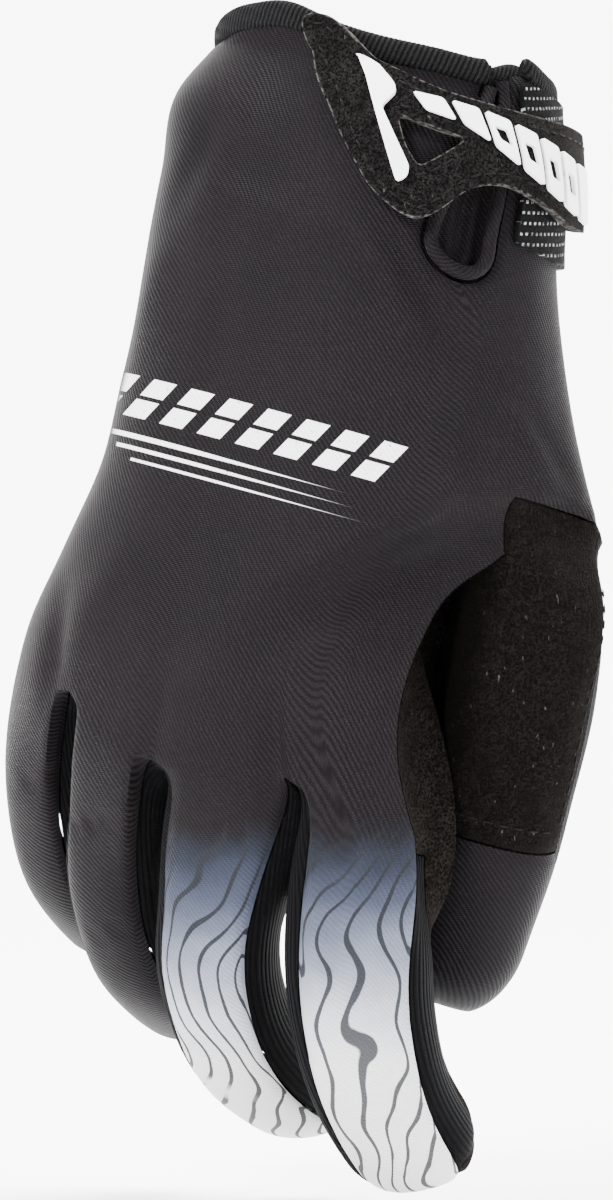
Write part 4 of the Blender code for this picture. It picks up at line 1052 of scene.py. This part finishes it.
# %% Knits
def knit_finish(name, rib, turn, low, high, cross=0.0005):
    """Ribs along one direction of the cloth map, each made of small stitches."""
    finish = new_finish(name, 0.78, sheen=0.01, sheen_roughness=0.45, tint=(0.7, 0.7, 0.75), specular=0.03)
    across, along, _ = lengths(finish, turn=turn)
    ribs = wave(finish, across, rib)
    stitch = wave(finish, calc(finish, "MULTIPLY_ADD", ribs, cross * 0.5, along), cross)
    ridge = calc(finish, "POWER", ribs, 0.6)
    height = calc(finish, "MULTIPLY", ridge, calc(finish, "MULTIPLY_ADD", stitch, 0.35, 0.65))
    speck = noise(finish, place(finish), 1800.0, 2.0)
    # The colour follows the ribs' height, darker in their hollows: painted shade of the ribs, with random
    # specks.
    shade = calc(finish, "MULTIPLY", height, calc(finish, "MULTIPLY_ADD", speck, 1.0, 0.5))
    connect(finish, mixed(finish, shade, low, high), height, 0.00030)
    return finish


LOOP_ROW, LOOP_PITCH = 0.0019, 0.0016  # between two rows of loops, and between two loops of a row


def loop_finish():
    """Loop cloth: short pale loops in rows on a black ground."""
    finish = new_finish("loop_mesh", 0.80)
    x, y, moved = lengths(finish, turn=-9.0)
    row = wave(finish, y, LOOP_ROW)
    row_number = calc(finish, "FLOOR", calc(finish, "DIVIDE", y, LOOP_ROW))
    shifted = calc(finish, "MULTIPLY_ADD", row_number, LOOP_PITCH / 2, x)
    in_row = step_up(finish, row, 0.72, 0.92)
    dash = calc(finish, "MULTIPLY", in_row, step_up(finish, wave(finish, shifted, LOOP_PITCH), 0.35, 0.75))
    dash = calc(finish, "MULTIPLY", dash, step_up(finish, noise(finish, moved, 900.0, 2.0), 0.35, 0.55))
    fluff = noise(finish, place(finish), 1600.0, 4.0, 0.7)
    ground = mixed(finish, fluff, (0.0003, 0.0003, 0.0003), (0.0045, 0.0045, 0.0050))
    height = calc(finish, "MULTIPLY_ADD", fluff, 0.6, dash)
    connect(finish, mixed(finish, dash, ground, (0.26, 0.26, 0.26)), height, 0.0004)
    return finish


def rubber_finish():
    """Matt white rubber with a faint unevenness and specks."""
    finish = new_finish("raised_rubber", 0.42, specular=0.4)
    here = place(finish)
    cloud = noise(finish, here, 220.0, 3.0)
    speck = step_up(finish, noise(finish, here, 2400.0, 1.0), 0.72, 0.80)
    colour = mixed(finish, cloud, (0.74, 0.75, 0.76), (0.86, 0.86, 0.86))
    colour = mixed(finish, calc(finish, "MULTIPLY", speck, 0.25), colour, (0.45, 0.45, 0.45))
    rough = calc(finish, "MULTIPLY_ADD", cloud, 0.2, 0.36)
    connect(finish, colour, noise(finish, here, 900.0, 3.0), 0.00005, rough)
    return finish


def thread_finish(name, colour):
    """Sewing thread: two plies that twist round each other."""
    finish = new_finish(name, 0.6, sheen=0.05)
    here = place(finish)
    twist = noise(finish, here, 3200.0, 2.0)
    low, high = (tuple(part * c for c in colour) for part in (0.5, 1.4))
    connect(finish, mixed(finish, twist, low, high), twist, 0.0001)
    return finish


TWILL, PRINTED = twill_finish(), back_finish()
SUEDE = suede_finish("palm_suede")
# The thumb's patch gets a darker copy of the palm suede: painted shade, as the patch lies in shadow below
# the fold over the thumb's root.
SHADED_THUMB_SUEDE = suede_finish("shaded_thumb_suede", SUEDE_LOW, (0.0048, 0.0040, 0.0034))
TAB_SUEDE = suede_finish("tab_suede", (0.0005, 0.0005, 0.0005), (0.0092, 0.0084, 0.0083), cut_edge=True)
SIDE_KNIT = knit_finish("side_knit", 0.0012, 0.0, (0.0002, 0.0002, 0.0002), (0.0026, 0.0026, 0.0032))
TAPE_KNIT = knit_finish("binding_knit", 0.0009, 24.0, (0.0005, 0.0005, 0.0005), (0.0090, 0.0088, 0.0094))
LOOPS, RUBBER = loop_finish(), rubber_finish()
THREAD = thread_finish("dark_thread", (0.0040, 0.0038, 0.0040))
print("finishes:", len(bpy.data.materials))

# %% [markdown]
# ## The sewn pieces
# Now each piece of cloth is cut out of the skin by its number, gets its wall and its finish, and takes the
# place of its solid.

# %% Cut out the pieces
FINISHES = {BACK: PRINTED, PALM: SUEDE, THUMB_PATCH: SHADED_THUMB_SUEDE, THUMB_PALM: SUEDE, THUMB_BACK: TWILL}
SLOTS = {BACK: "stretch_twill", THUMB_BACK: "stretch_twill", PALM: "palm_suede"}
SLOTS |= {THUMB_PATCH: "palm_suede", THUMB_PALM: "palm_suede"}
FOLDED_BELOW = 0.32  # a map whose cloth fills less of its rectangle is that of a folded strip
STRIP_SHARE = 0.85  # how much of its flat rectangle such a strip fills


def face_areas(points, faces):
    """Half the length of the cross product of each face's diagonals."""
    across = np.cross(points[faces[:, 2]] - points[faces[:, 0]], points[faces[:, 3]] - points[faces[:, 1]])
    return np.linalg.norm(across, axis=1) / 2


def declare(piece, lengths_of_it, area):
    """The flat rectangle that the sheet was cut from and its own flat area.

    The piece between two fingers is a narrow strip folded in two, so its rectangle is twice as long as its
    map is high, and as wide as its area then needs.
    """
    width, height = (float(np.ptp(lengths_of_it[..., k])) for k in (0, 1))
    area = float(area)
    if area < FOLDED_BELOW * width * height:
        height = 2 * height
        width = area / height / STRIP_SHARE
    area = min(area, width * height) * 0.999
    print(f"{piece.name}: cut from {width * 1000:.0f} x {height * 1000:.0f} mm, {area * 1e4:.1f} square cm")


NAMES = ("back_cloth", "palm_hide", "knit_little_ring", "knit_ring_middle", "knit_middle_index")
NAMES += ("knit_index_side", "thumb_back_cloth", "thumb_hide_patch", "thumb_front_hide")
front_map = np.stack([skin[:, 0], skin[:, 2]], -1)[skin_faces]
facing = ease((-skin_normals[:, 1] - 0.15) / 0.25)[skin_faces]
mask_map = np.stack([np.repeat(printed[:, None], 4, axis=1).astype(float), facing], -1)
for number, name in enumerate(PIECES):
    mine = all_numbers == number
    maps = {"cloth": all_maps[mine]}
    if number == BACK:
        maps |= {"front": front_map[mine], "mask": mask_map[mine]}
    area = face_areas(skin, skin_faces[mine]).sum()
    body = wall(skin, skin_normals, skin_faces[mine], maps, CLOTH, SEAM_PULL, SEAM_DIP)
    piece = make_piece(NAMES[number], *body)
    seat(piece, SLOTS.get(number, "side_knit"), FINISHES.get(number, SIDE_KNIT), name)
    declare(piece, all_maps[mine], area)

# %% [markdown]
# ## The web of suede beside the thumb
# Between thumb and palm the suede sags back into a web, so nothing shows through there. It is a surface of
# two parameters: straight lines from the palm's seam to the thumb's side, sagging by a sine.

# %% Web beside the thumb
WEB_ROWS, WEB_SAG = 29, 0.0075
palm_edge = hand[: WEB_ROWS + 1, PALM_START + 3]
thumb_edge = thumb[: WEB_ROWS + 1, THUMB_FINE + 5]
share = np.linspace(0, 1, 17)
lines = palm_edge[:, None] + (thumb_edge - palm_edge)[:, None] * share[:, None]
deep = WEB_SAG * np.sin(np.pi * share**2.2) * ease(np.arange(WEB_ROWS + 1) / 6)[:, None]
web = lines + np.array([0.0, 1.0, 0.0]) * deep[..., None] - np.array([0.0, 0.0, 1.0]) * 0.5 * deep[..., None]
index = np.arange(web.shape[0] * web.shape[1]).reshape(web.shape[:2])
faces, points = corners_of(index).reshape(-1, 4), web.reshape(-1, 3)
web_map = cloth_map(web, 8, 0.0, 0.0)
web_maps = {"cloth": corners_of(web_map).reshape(-1, 4, 2)}
body = wall(points, point_normals(points, faces), faces, web_maps, CLOTH)
piece = make_piece("thumb_web_hide", *body)
seat(piece, "palm_suede", SUEDE)
declare(piece, web_map, face_areas(points, faces).sum())

# %% [markdown]
# ## Tape round the cuff
# The cuff's rim is bound with a narrow knitted tape, folded over the edge. It is a profile carried along a
# path: a rounded section moved along the rim, which swells and sinks a little with each rib.

# %% A profile along a path
def swept(path, sides, ups, profile, swell=None, close=False):
    """Rings of the profile, (towards side, towards up), set at each point of the path.

    swell scales each ring. The ends are closed by shrinking a last ring to the path's end.
    """
    profile = np.asarray(profile)
    swell = np.ones(len(path)) if swell is None else swell
    if not close:
        path = np.concatenate([path[:1], path, path[-1:]])
        sides, ups = (np.concatenate([v[:1], v, v[-1:]]) for v in (sides, ups))
        swell = np.concatenate([[0.0], swell, [0.0]])
    scaled = profile[None] * swell[:, None, None]
    rings = path[:, None] + sides[:, None] * scaled[..., :1] + ups[:, None] * scaled[..., 1:]
    rows, count = rings.shape[:2]
    along = np.concatenate([[0], np.cumsum(np.linalg.norm(np.diff(path, axis=0), axis=1))])
    closed = np.vstack([profile, profile[:1]])
    girth = np.concatenate([[0], np.cumsum(np.linalg.norm(np.diff(closed, axis=0), axis=1))])
    index = np.arange(rows * count).reshape(rows, count)
    if not close:
        index[0], index[-1] = index[0, 0], index[-1, 0]
    index = np.concatenate([index, index[:, :1]], axis=1)
    if close:
        index = np.concatenate([index, index[:1]])
        along = np.concatenate([along, [along[-1] + np.linalg.norm(path[0] - path[-1])]])
    grid_map = np.stack(np.broadcast_arrays(along[:, None], girth[None]), -1)
    maps = {"cloth": corners_of(grid_map).reshape(-1, 4, 2)}
    return rings.reshape(-1, 3), corners_of(index).reshape(-1, 4), maps


def facing_out(points, faces, maps):
    """The same, turned round if the faces enclose a negative volume."""
    a, b, c, d = (points[faces[:, k]] for k in range(4))
    volume = np.einsum("ij,ij->", a, np.cross(b, c)) + np.einsum("ij,ij->", a, np.cross(c, d))
    if volume > 0:
        return points, faces, maps
    return points, faces[:, ::-1], {key: v[:, ::-1] for key, v in maps.items()}


def resampled(path, pitch, *others):
    """The path, and what goes with it, at even steps of about one pitch."""
    along = np.concatenate([[0], np.cumsum(np.linalg.norm(np.diff(path, axis=0), axis=1))])
    even = np.linspace(0, along[-1], max(3, int(round(along[-1] / pitch)) + 1))
    return [np.stack([np.interp(even, along, v[:, k]) for k in range(3)], -1) for v in (path, *others)]


def round_box(width, height, power, count):
    """A squared ellipse: cosine and sine, each raised to a power below 1."""
    t = np.arange(count) / count * 2 * math.pi
    across = width / 2 * signed_power(np.cos(t), power)
    up = height / 2 * signed_power(np.sin(t), power)
    return np.stack([across, up], -1)

# %% Cuff binding
BINDING_HEIGHT, BINDING_DEPTH = 0.0050, 0.0028
TAPE_FOOT, TAPE_LET_IN = 0.0012, BINDING_DEPTH / 2 - 0.0006  # down from the rim, and in from it
UNDER_FOOT, UNDER_LET_IN = 0.0024, 0.0024
RIB = 0.0009


def rim_tape(name, angles, low, let_in, height, *nodes):
    """Tape along the rim at these angles. low is how far its foot lies below the rim."""
    rim = cuff_ring(0.0, angles)
    side = hand_normal(np.zeros(len(angles)), angles)
    side[:, 2] = 0
    rim, side = resampled(rim, RIB / 6, unit(side))
    side = unit(side)
    up = np.tile([0.0, 0.0, 1.0], (len(rim), 1))
    middle = rim - side * let_in + up * (height / 2 - low)
    rib = np.abs(np.sin(np.arange(len(rim)) / 6 * math.pi))
    ends = np.minimum(np.arange(len(rim)), np.arange(len(rim))[::-1]) / 8
    swell = (0.955 + 0.045 * rib) * np.clip(ends, 0.3, 1) ** 0.5
    tape = swept(middle, side, up, round_box(BINDING_DEPTH, height, 0.62, 20), swell)
    piece = make_piece(name, *facing_out(*tape), sharp=70)
    seat(piece, "binding_knit", TAPE_KNIT, *nodes)
    print(name, "mm long:", round(float(np.linalg.norm(np.diff(rim, axis=0), axis=1).sum()) * 1000))


ring = cuff_angles(0.0)[:-1]
angles = np.concatenate([[20.0], ring[SLIT_FIRST + 2 :], ring[: SLIT_FIRST + 1] - 360])
angles[-1] -= 3.5
rim_tape("cuff_tape", finer(angles, 12), TAPE_FOOT, TAPE_LET_IN, BINDING_HEIGHT, "cuff_binding")
rim_tape("under_tape", np.linspace(52, 16, 60), UNDER_FOOT, UNDER_LET_IN, BINDING_HEIGHT - 0.0004)

# %% [markdown]
# ## The slit
# Beside the thumb the cuff is slit so that a hand can get in. Its edge is turned over a cord of cloth, and a
# pleated piece closes the gap behind it. The roll is a round profile along the slit's edge. The pleats are a
# surface of two parameters whose depth is a sum of sines across the slit.

# %% Rolled edge
ROLL, SLIT_TOP = 0.0026, 0.008  # the roll's width, and how far down it starts, as a share


def slit_edge(times=6):
    """The slit's edge down one side, round its foot and up the other, with its normals."""
    rows = finer(np.array(CUFF_ROWS[: SLIT_ROWS + 1]) * THUMB_SPLIT, times)
    rows[0] = SLIT_TOP
    pairs = np.array([cuff_angles(s)[SLIT_FIRST : SLIT_FIRST + 2] for s in rows])
    s = np.concatenate([rows, rows[::-1]])
    degrees = np.concatenate([pairs[:, 0], pairs[::-1, 1]])
    down = s + rim_share(degrees) * (1 - ease(s / 0.2))
    return hand_point(down, degrees), hand_normal(down, degrees)


edge, out = resampled(slit_edge()[0], 0.0005, slit_edge()[1])
out = unit(out)
way = unit(np.gradient(edge, axis=0))
side = unit(np.cross(out, way))
turns = np.arange(16) / 16 * 2 * math.pi
circle = np.stack([np.cos(turns), np.sin(turns)], -1)
for name, size, aside, down, nodes in (
    ("slit_roll", ROLL, ROLL / 2 + 0.00045, 0.0003, ["slit_piping"]),
    ("slit_inner_roll", 0.0020, -0.0016, 0.0022, []),
):
    path = edge + side * aside - out * down
    puckers = 1 + 0.035 * np.sin(np.arange(len(path)) / 4.1) * np.sin(np.arange(len(path)) / 11.3)
    roll = swept(path, side, out, circle * size / 2, puckers)
    piece = make_piece(name, *facing_out(*roll), sharp=80)
    seat(piece, "binding_knit", TWILL, *nodes)

# %% Pleats behind the slit
GUSSET_WALL, GUSSET_DEPTH = 0.0010, 0.0042
rows, shares = np.linspace(-0.014, SLIT_BOTTOM + 0.022, 64), np.linspace(0, 1, 60)
left, right = SLIT[2][1] + 3.5, SLIT[2][2] - 3.5
s, across = np.meshgrid(rows, shares, indexing="ij")
degrees = left + (right - left) * across
out = hand_normal(s, degrees)
let_in = CLOTH + 0.0005 + GUSSET_DEPTH * np.sin(np.pi * across) ** 1.5 * (1 - 0.6 * ease(s / SLIT_BOTTOM))
let_in = let_in - 0.0008 * np.sin(4 * np.pi * across) ** 2 * np.sin(np.pi * across)
pleats = hand_point(s, degrees) - out * let_in[..., None]
index = np.arange(pleats.shape[0] * pleats.shape[1]).reshape(pleats.shape[:2])
faces, points = corners_of(index).reshape(-1, 4), pleats.reshape(-1, 3)
flat_map = cloth_map(pleats, 30, 0.0, 0.0)
maps = {"cloth": corners_of(flat_map).reshape(-1, 4, 2)}
body = wall(points, point_normals(points, faces), faces, maps, GUSSET_WALL)
piece = make_piece("slit_pleats", *body)
seat(piece, "stretch_twill", TWILL, "slit_gusset")
declare(piece, flat_map, face_areas(points, faces).sum())

# %% [markdown]
# ## The closure tab
# The tab is cut from suede sheet and laid over loop cloth round the wrist, with a three-cornered hole and
# raised white rubber. A flat shape with a hole is no plain grid, so its outline is filled with triangles
# when flat, and then each point is laid on the hand's surface by its angle and its share down.

# %% Outlines on the wrist
WRIST_RADIUS = 0.036
TAB_THICKNESS, RUBBER_THICKNESS, PATCH_THICKNESS, PLATE_GAP = 0.0018, 0.0014, 0.0010, 0.0006
TAB = ((101, -0.040), (98, -0.056), (92, -0.058), (86, -0.028), (80, -0.004), (70, 0.012), (60, 0.022))
TAB += ((50, 0.026), (30, 0.030), (0, 0.027), (-30, 0.032), (-55, 0.045), (-66, 0.068), (-68, 0.095))
TAB += ((-62, 0.123), (-45, 0.138), (-20, 0.147), (0, 0.150), (8, 0.143), (17, 0.132), (27, 0.124))
TAB += ((34, 0.121), (41, 0.127), (47, 0.140), (53, 0.176), (59, 0.196), (64, 0.193), (69, 0.182))
TAB += ((74, 0.168), (78, 0.144), (83, 0.114), (87, 0.084), (91, 0.052), (96, 0.012))
TAB_HOLE = ((71, 0.066), (50, 0.078), (62, 0.126), (67, 0.102))
WEDGE = ((85.8, -0.008), (84.2, -0.010), (73.5, 0.030), (72.5, 0.040), (75.5, 0.062), (64.5, 0.130))
WEDGE += ((64.5, 0.144), (67, 0.154))
LOOP_PATCH = ((25, -0.026), (22, 0.190), (-38, 0.200), (-40, 0.0))
BARS = ((66, 56, 0.034, 0.054), (54, 44.5, 0.036, 0.066), (43, 33.5, 0.042, 0.088), (32, 23, 0.050, 0.104))
BARS += ((21.5, 13, 0.058, 0.118), (11.5, 3, 0.066, 0.130), (1.5, -7, 0.074, 0.140))
BAR_SLANT, BAR_GAP, BAR_THICKNESS, SLOTTED = 5.0, 0.6, 0.0008, (2, 3, 4, 5)
TAB_LIFT = ((-70, 0.0022), (-35, 0.0030), (0, 0.0031), (35, 0.0026), (70, 0.0016), (102, 0.0011))


def flat(corners):
    """Corners (angle, share down) as lengths: across to the thumb's side, and up."""
    angle, down = np.array(corners, float).T
    return np.stack([-np.radians(angle) * WRIST_RADIUS, -down * HAND_LENGTH], -1)


def soft_corners(loop, radius):
    """Each corner replaced by a short bow: (1 - t)² a + 2 t (1 - t) corner + t² b, a and b near it."""
    before, after = np.roll(loop, 1, axis=0) - loop, np.roll(loop, -1, axis=0) - loop
    reach = np.minimum(radius, 0.45 * np.minimum(*(np.linalg.norm(v, axis=1) for v in (before, after))))
    a, b = (loop + unit(v) * reach[:, None] for v in (before, after))
    t = np.linspace(0, 1, 5)[None, :, None]
    return ((1 - t) ** 2 * a[:, None] + 2 * t * (1 - t) * loop[:, None] + t**2 * b[:, None]).reshape(-1, 2)


def corner_cut(loop, times):
    """Each corner cut at a quarter of both its sides, as often as asked: a rounded outline."""
    for _ in range(times):
        following = np.roll(loop, -1, axis=0)
        loop = np.stack([loop * 0.75 + following * 0.25, loop * 0.25 + following * 0.75], 1).reshape(-1, 2)
    return loop


def dense(loop, step):
    """The closed loop at even steps of about this length."""
    closed = np.vstack([loop, loop[:1]])
    along = np.concatenate([[0], np.cumsum(np.linalg.norm(np.diff(closed, axis=0), axis=1))])
    even = np.linspace(0, along[-1], int(math.ceil(along[-1] / step)) + 1)[:-1]
    return np.stack([np.interp(even, along, closed[:, k]) for k in (0, 1)], -1)


def inside(points, loop):
    """Whether each point lies inside: an odd number of the loop's sides lie to its right."""
    x, y = points[:, 0, None], points[:, 1, None]
    a, b = loop, np.roll(loop, -1, axis=0)
    spans = (a[:, 1] > y) != (b[:, 1] > y)
    with np.errstate(divide="ignore", invalid="ignore"):
        cross = a[:, 0] + (y - a[:, 1]) * (b[:, 0] - a[:, 0]) / (b[:, 1] - a[:, 1])
    return (spans & (x < cross)).sum(axis=1) % 2 == 1


def cut_up(loops, step):
    """Triangles that fill the first loop and leave out the others."""
    low, high = loops[0].min(axis=0), loops[0].max(axis=0)
    x, y = np.meshgrid(np.arange(low[0], high[0], step), np.arange(low[1], high[1], step), indexing="ij")
    x[:, ::2] += step / 2
    fill = np.stack([x.ravel(), y.ravel()], -1)
    keep = inside(fill, loops[0]) & (distance_to(fill, np.concatenate(loops)) > step * 0.6)
    for loop in loops[1:]:
        keep &= ~inside(fill, loop)
    points, edges, start = np.concatenate([*loops, fill[keep]]), [], 0
    for loop in loops:
        index = np.arange(len(loop))
        edges += np.stack([start + index, start + (index + 1) % len(loop)], -1).tolist()
        start += len(loop)
    made = delaunay_2d_cdt([Vector(p) for p in (points * 1000).tolist()], edges, [], 0, 1e-5)
    points = np.array([tuple(v) for v in made[0]]) / 1000
    triangles = np.array([list(f) for f in made[2]])
    middle = points[triangles].mean(axis=1)
    keep = inside(middle, loops[0])
    for loop in loops[1:]:
        keep &= ~inside(middle, loop)
    return points, triangles[keep]

# %% Plates laid on the wrist
def laid(points, height):
    """Flat points on the wrist: angle and share from lengths, then out along the normal by a height."""
    degrees, down = -np.degrees(points[:, 0] / WRIST_RADIUS), -points[:, 1] / HAND_LENGTH
    out = hand_normal(down, degrees)
    return hand_point(down, degrees) + out * np.asarray(height)[:, None], out


def tab_lift(points):
    """How far the tab's inner face stands off the cuff."""
    return spline(-np.degrees(points[:, 0] / WRIST_RADIUS), TAB_LIFT)


def plate(name, loops, height, thickness, step, bevel):
    """A wall over a filled outline, with its rim rounded by a bevel."""
    points, triangles = cut_up(loops, step)
    from_rim = distance_to(points, np.concatenate(loops))
    top, out = laid(points, height(points) + thickness)
    faces = np.concatenate([triangles, triangles[:, 2:]], axis=1)
    maps = {"cloth": points[faces], "rim": np.stack([from_rim, from_rim], -1)[faces]}
    piece = make_piece(name, *wall(top, out, faces, maps, thickness), sharp=50)
    made = piece.modifiers.new("rounded rim", "BEVEL")
    made.width = bevel
    made.segments = 3
    made.limit_method = "ANGLE"
    made.angle_limit = math.radians(50)
    return piece, points, face_areas(top, faces).sum()


tab_loop = dense(corner_cut(flat(TAB), 2), 0.0011)
hole_loop = dense(soft_corners(flat(TAB_HOLE), 0.0012), 0.0008)
piece, points, area = plate("tab_sheet", [tab_loop, hole_loop], tab_lift, TAB_THICKNESS, 0.0012, 0.00035)
seat(piece, "tab_suede", TAB_SUEDE, "closure_tab")
declare(piece, points, area)
patch_loop = dense(soft_corners(flat(LOOP_PATCH), 0.002), 0.0012)


def close_to_cuff(points):
    """The loop cloth stands off the cuff by PLATE_GAP everywhere."""
    return np.full(len(points), PLATE_GAP)


piece, points, area = plate("loop_cloth", [patch_loop], close_to_cuff, PATCH_THICKNESS, 0.0013, 0.0003)
seat(piece, "loop_mesh", LOOPS, "loop_patch")
declare(piece, points, area)

# %% Raised rubber
def on_tab(points):
    """The height at which rubber starts on the tab."""
    return tab_lift(points) + TAB_THICKNESS + 0.0001


wedge_loop = dense(soft_corners(flat(WEDGE), 0.0007), 0.0005)
piece, _, _ = plate("white_wedge", [wedge_loop], on_tab, RUBBER_THICKNESS, 0.0008, 0.0004)
seat(piece, "raised_rubber", RUBBER, "raised_wedge")
middles = [-(first + last) / 2 for first, last, _, _ in BARS]
for k, (first, last, _, _) in enumerate(BARS):
    first, last, half = first - BAR_GAP / 2, last + BAR_GAP / 2, BAR_SLANT / 2
    tops = np.interp((-first, -last), middles, [bar[2] for bar in BARS])
    feet = np.interp((-first, -last), middles, [bar[3] for bar in BARS])
    corners = ((first + half, tops[0]), (first - half, feet[0]))
    corners += ((last - half, feet[1]), (last + half, tops[1]))
    shape = flat(corners)
    loops = [dense(soft_corners(shape, 0.0006), 0.0005)]
    if k in SLOTTED:
        centre = shape.mean(axis=0)
        loops.append(dense(soft_corners(centre + (shape - centre) * (0.52, 0.36), 0.0003), 0.0004))
    piece, _, _ = plate(f"white_bar_{k + 1}", loops, on_tab, BAR_THICKNESS, 0.0007, 0.0002)
    seat(piece, "raised_rubber", RUBBER, f"raised_bar_{k + 1}")

# %% [markdown]
# ## Stitches
# A row of stitches shows how a glove holds together. One stitch is a small ellipsoid of a few dozen faces,
# and a whole row is one array: the same points, moved, turned and stretched along the path.

# %% Rows of stitches
THREAD_WIDTH, STITCH, STITCH_GAP = 0.00036, 0.0019, 0.0010


def stitch_row(path, out, length=STITCH, gap=STITCH_GAP, width=THREAD_WIDTH):
    """Ellipsoids along a path: point = middle + way a + side b + out c, with (a, b, c) on an ellipsoid."""
    pitch = length + gap
    path, out = resampled(path, pitch / 8, out)
    way = unit(np.gradient(path, axis=0))
    place_of = np.arange(4, len(path) - 4, 8)
    middle, way, out = path[place_of], way[place_of], unit(out[place_of])
    side = np.cross(out, way)
    t, p = np.meshgrid(np.linspace(0, math.pi, 6), np.arange(6) / 6 * 2 * math.pi, indexing="ij")
    b, c = np.sin(t) * np.cos(p), np.sin(t) * np.sin(p)
    shape = np.stack([np.cos(t) * length / 2, b * width / 2, c * width / 2], -1)
    frames = np.stack([way, side, out], 1)
    points = middle[:, None, None] + np.einsum("tpk,nkx->ntpx", shape, frames)
    index = np.arange(36).reshape(6, 6)
    index[0], index[-1] = index[0, 0], index[-1, 0]
    quads = corners_of(np.concatenate([index, index[:, :1]], axis=1)).reshape(-1, 4)
    faces = quads[None] + 36 * np.arange(len(middle))[:, None, None]
    return points.reshape(-1, 3), faces.reshape(-1, 4)


def stitches(name, rows, slot, finish):
    """Several rows joined into one piece."""
    points, faces, start = [], [], 0
    for row_points, row_faces in rows:
        points.append(row_points)
        faces.append(row_faces + start)
        start += len(row_points)
    points, faces = np.concatenate(points), np.concatenate(faces)
    piece = make_piece(name, *facing_out(points, faces, {}), sharp=80)
    seat(piece, slot, finish)
    print(name, "faces:", len(faces))


def inset(loop, amount):
    """The loop moved inwards: each point steps across its own direction."""
    way = unit(np.roll(loop, -2, axis=0) - np.roll(loop, 2, axis=0))
    inward = np.stack([-way[:, 1], way[:, 0]], -1)
    probe = inside(loop + inward * 0.0008, loop).mean()
    return loop + inward * amount * (1 if probe > 0.5 else -1)


def tab_row(loop, amount):
    """A row of stitches on the tab, this far inside a closed loop."""
    moved = inset(loop, amount)
    moved = np.vstack([moved, moved[:1]])
    return stitch_row(*laid(moved, tab_lift(moved) + TAB_THICKNESS + 0.00004))


stitches("tab_stitches", [tab_row(tab_loop, 0.0019), tab_row(hole_loop, -0.0017)], "tab_suede", THREAD)

# %% Stitches on the suede
def grid_row(grid, rows, columns, lift_by=0.0001):
    """A row of stitches along points of a skin grid, raised by the same wrinkles as the cloth."""
    path = grid[rows, columns]
    near = np.argmin(np.linalg.norm(plain_skin[:, None] - path[None], axis=-1), axis=0)
    return stitch_row(skin[near] + skin_normals[near] * lift_by, skin_normals[near])


patch_foot = PATCH_ROWS * FINE
rows = [
    grid_row(thumb, patch_foot - 2, np.arange(0, 4 * FINE - 1)),
    grid_row(thumb, np.arange(1, patch_foot - 1), 4 * FINE - 2),
    grid_row(hand, np.arange(6, len(hand) - 2), BACK_FINE + 2),
]
stitches("suede_stitches", rows, "palm_suede", THREAD)

# %% [markdown]
# ## Floor, light and camera
# The photograph shows the glove on plain white, level with the lens, lit softly from above and in front. A
# pale floor that curves up into a backdrop gives the same. A key lamp, one from above and a weak fill keep
# the black cloth's folds readable, and a fourth lamp lights the backdrop.

# %% Stage
low_z = cad_box[0][2]
FLOOR_Z = low_z - 0.004


def add_stage():
    """A floor that curves up into a backdrop: a line, a quarter circle and a line, carried sideways."""
    radius, back, front, top, half = 0.5, 1.6, -2.2, 2.2, 3.0
    turns = np.linspace(0, math.pi / 2, 24)
    y = np.concatenate([[front], back - radius + radius * np.sin(turns), [back]])
    z = np.concatenate([[0.0], radius - radius * np.cos(turns), [top]]) + FLOOR_Z
    x = np.array([-half, half])
    away, up = np.tile(y[:, None], 2), np.tile(z[:, None], 2)
    grid = np.stack([np.broadcast_to(x[None], (len(y), 2)), away, up], -1)
    index = np.arange(len(y) * 2).reshape(len(y), 2)
    made = make_piece("floor", grid.reshape(-1, 3), corners_of(index).reshape(-1, 4)[:, ::-1], sharp=80)
    paint = new_finish("pale_floor", 0.9)
    paint.node_tree.nodes["Principled BSDF"].inputs["Base Color"].default_value = (0.93, 0.93, 0.93, 1)
    made.data.materials.append(paint)
    made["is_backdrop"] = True


add_stage()

# %% Lamps and world
def lamp(name, at, aim, size, power):
    """A square soft lamp at a point of the front view, turned to aim at another."""
    light = bpy.data.lights.new(name, "AREA")
    light.size = size
    light.energy = power
    made = bpy.data.objects.new(name, light)
    here, there = Vector(turned(at)[0]), Vector(turned(aim)[0])
    made.location = here
    made.rotation_euler = (there - here).to_track_quat("-Z", "Y").to_euler()
    bpy.context.scene.collection.objects.link(made)


MIDDLE = (-0.015, 0.0, -0.10)
lamp("key", (-0.8, -1.0, 1.0), MIDDLE, 0.5, 84)
lamp("top", (0.5, 0.1, 1.2), MIDDLE, 0.6, 34)
lamp("fill", (1.2, -0.8, 0.2), MIDDLE, 0.9, 14)
lamp("backdrop", (0.0, 0.4, 1.9), (0.0, 1.6, 0.1), 1.6, 300)
world = bpy.data.worlds.new("studio")
world.use_nodes = True
world.node_tree.nodes["Background"].inputs[0].default_value = (1, 1, 1, 1)
world.node_tree.nodes["Background"].inputs[1].default_value = 1.1
bpy.context.scene.world = world

# %% Camera
FRAME_TALL = 0.2256  # what the photograph's 1200 rows hold at the glove
DISTANCE = 1.1
camera = bpy.data.cameras.new("camera")
camera.angle = 2 * math.atan(FRAME_TALL / 2 / DISTANCE)
camera_object = bpy.data.objects.new("camera", camera)
camera_object.location = turned((-0.01476, -DISTANCE, -0.0980))[0]
camera_object.rotation_euler = (math.radians(90), 0, math.radians(VIEW_TURN))
bpy.context.scene.collection.objects.link(camera_object)
bpy.context.scene.camera = camera_object

# %% [markdown]
# ## Sizes and the last call
# The box of the dressed model is written beside that of the solids, so that the two can be compared.

# %% Finish
visual_box = [list(corner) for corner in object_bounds()]
growth = [[round((v - c) * 1000, 2) for v, c in zip(a, b)] for a, b in zip(visual_box, cad_box)]
print("growth of the box, mm:", growth)
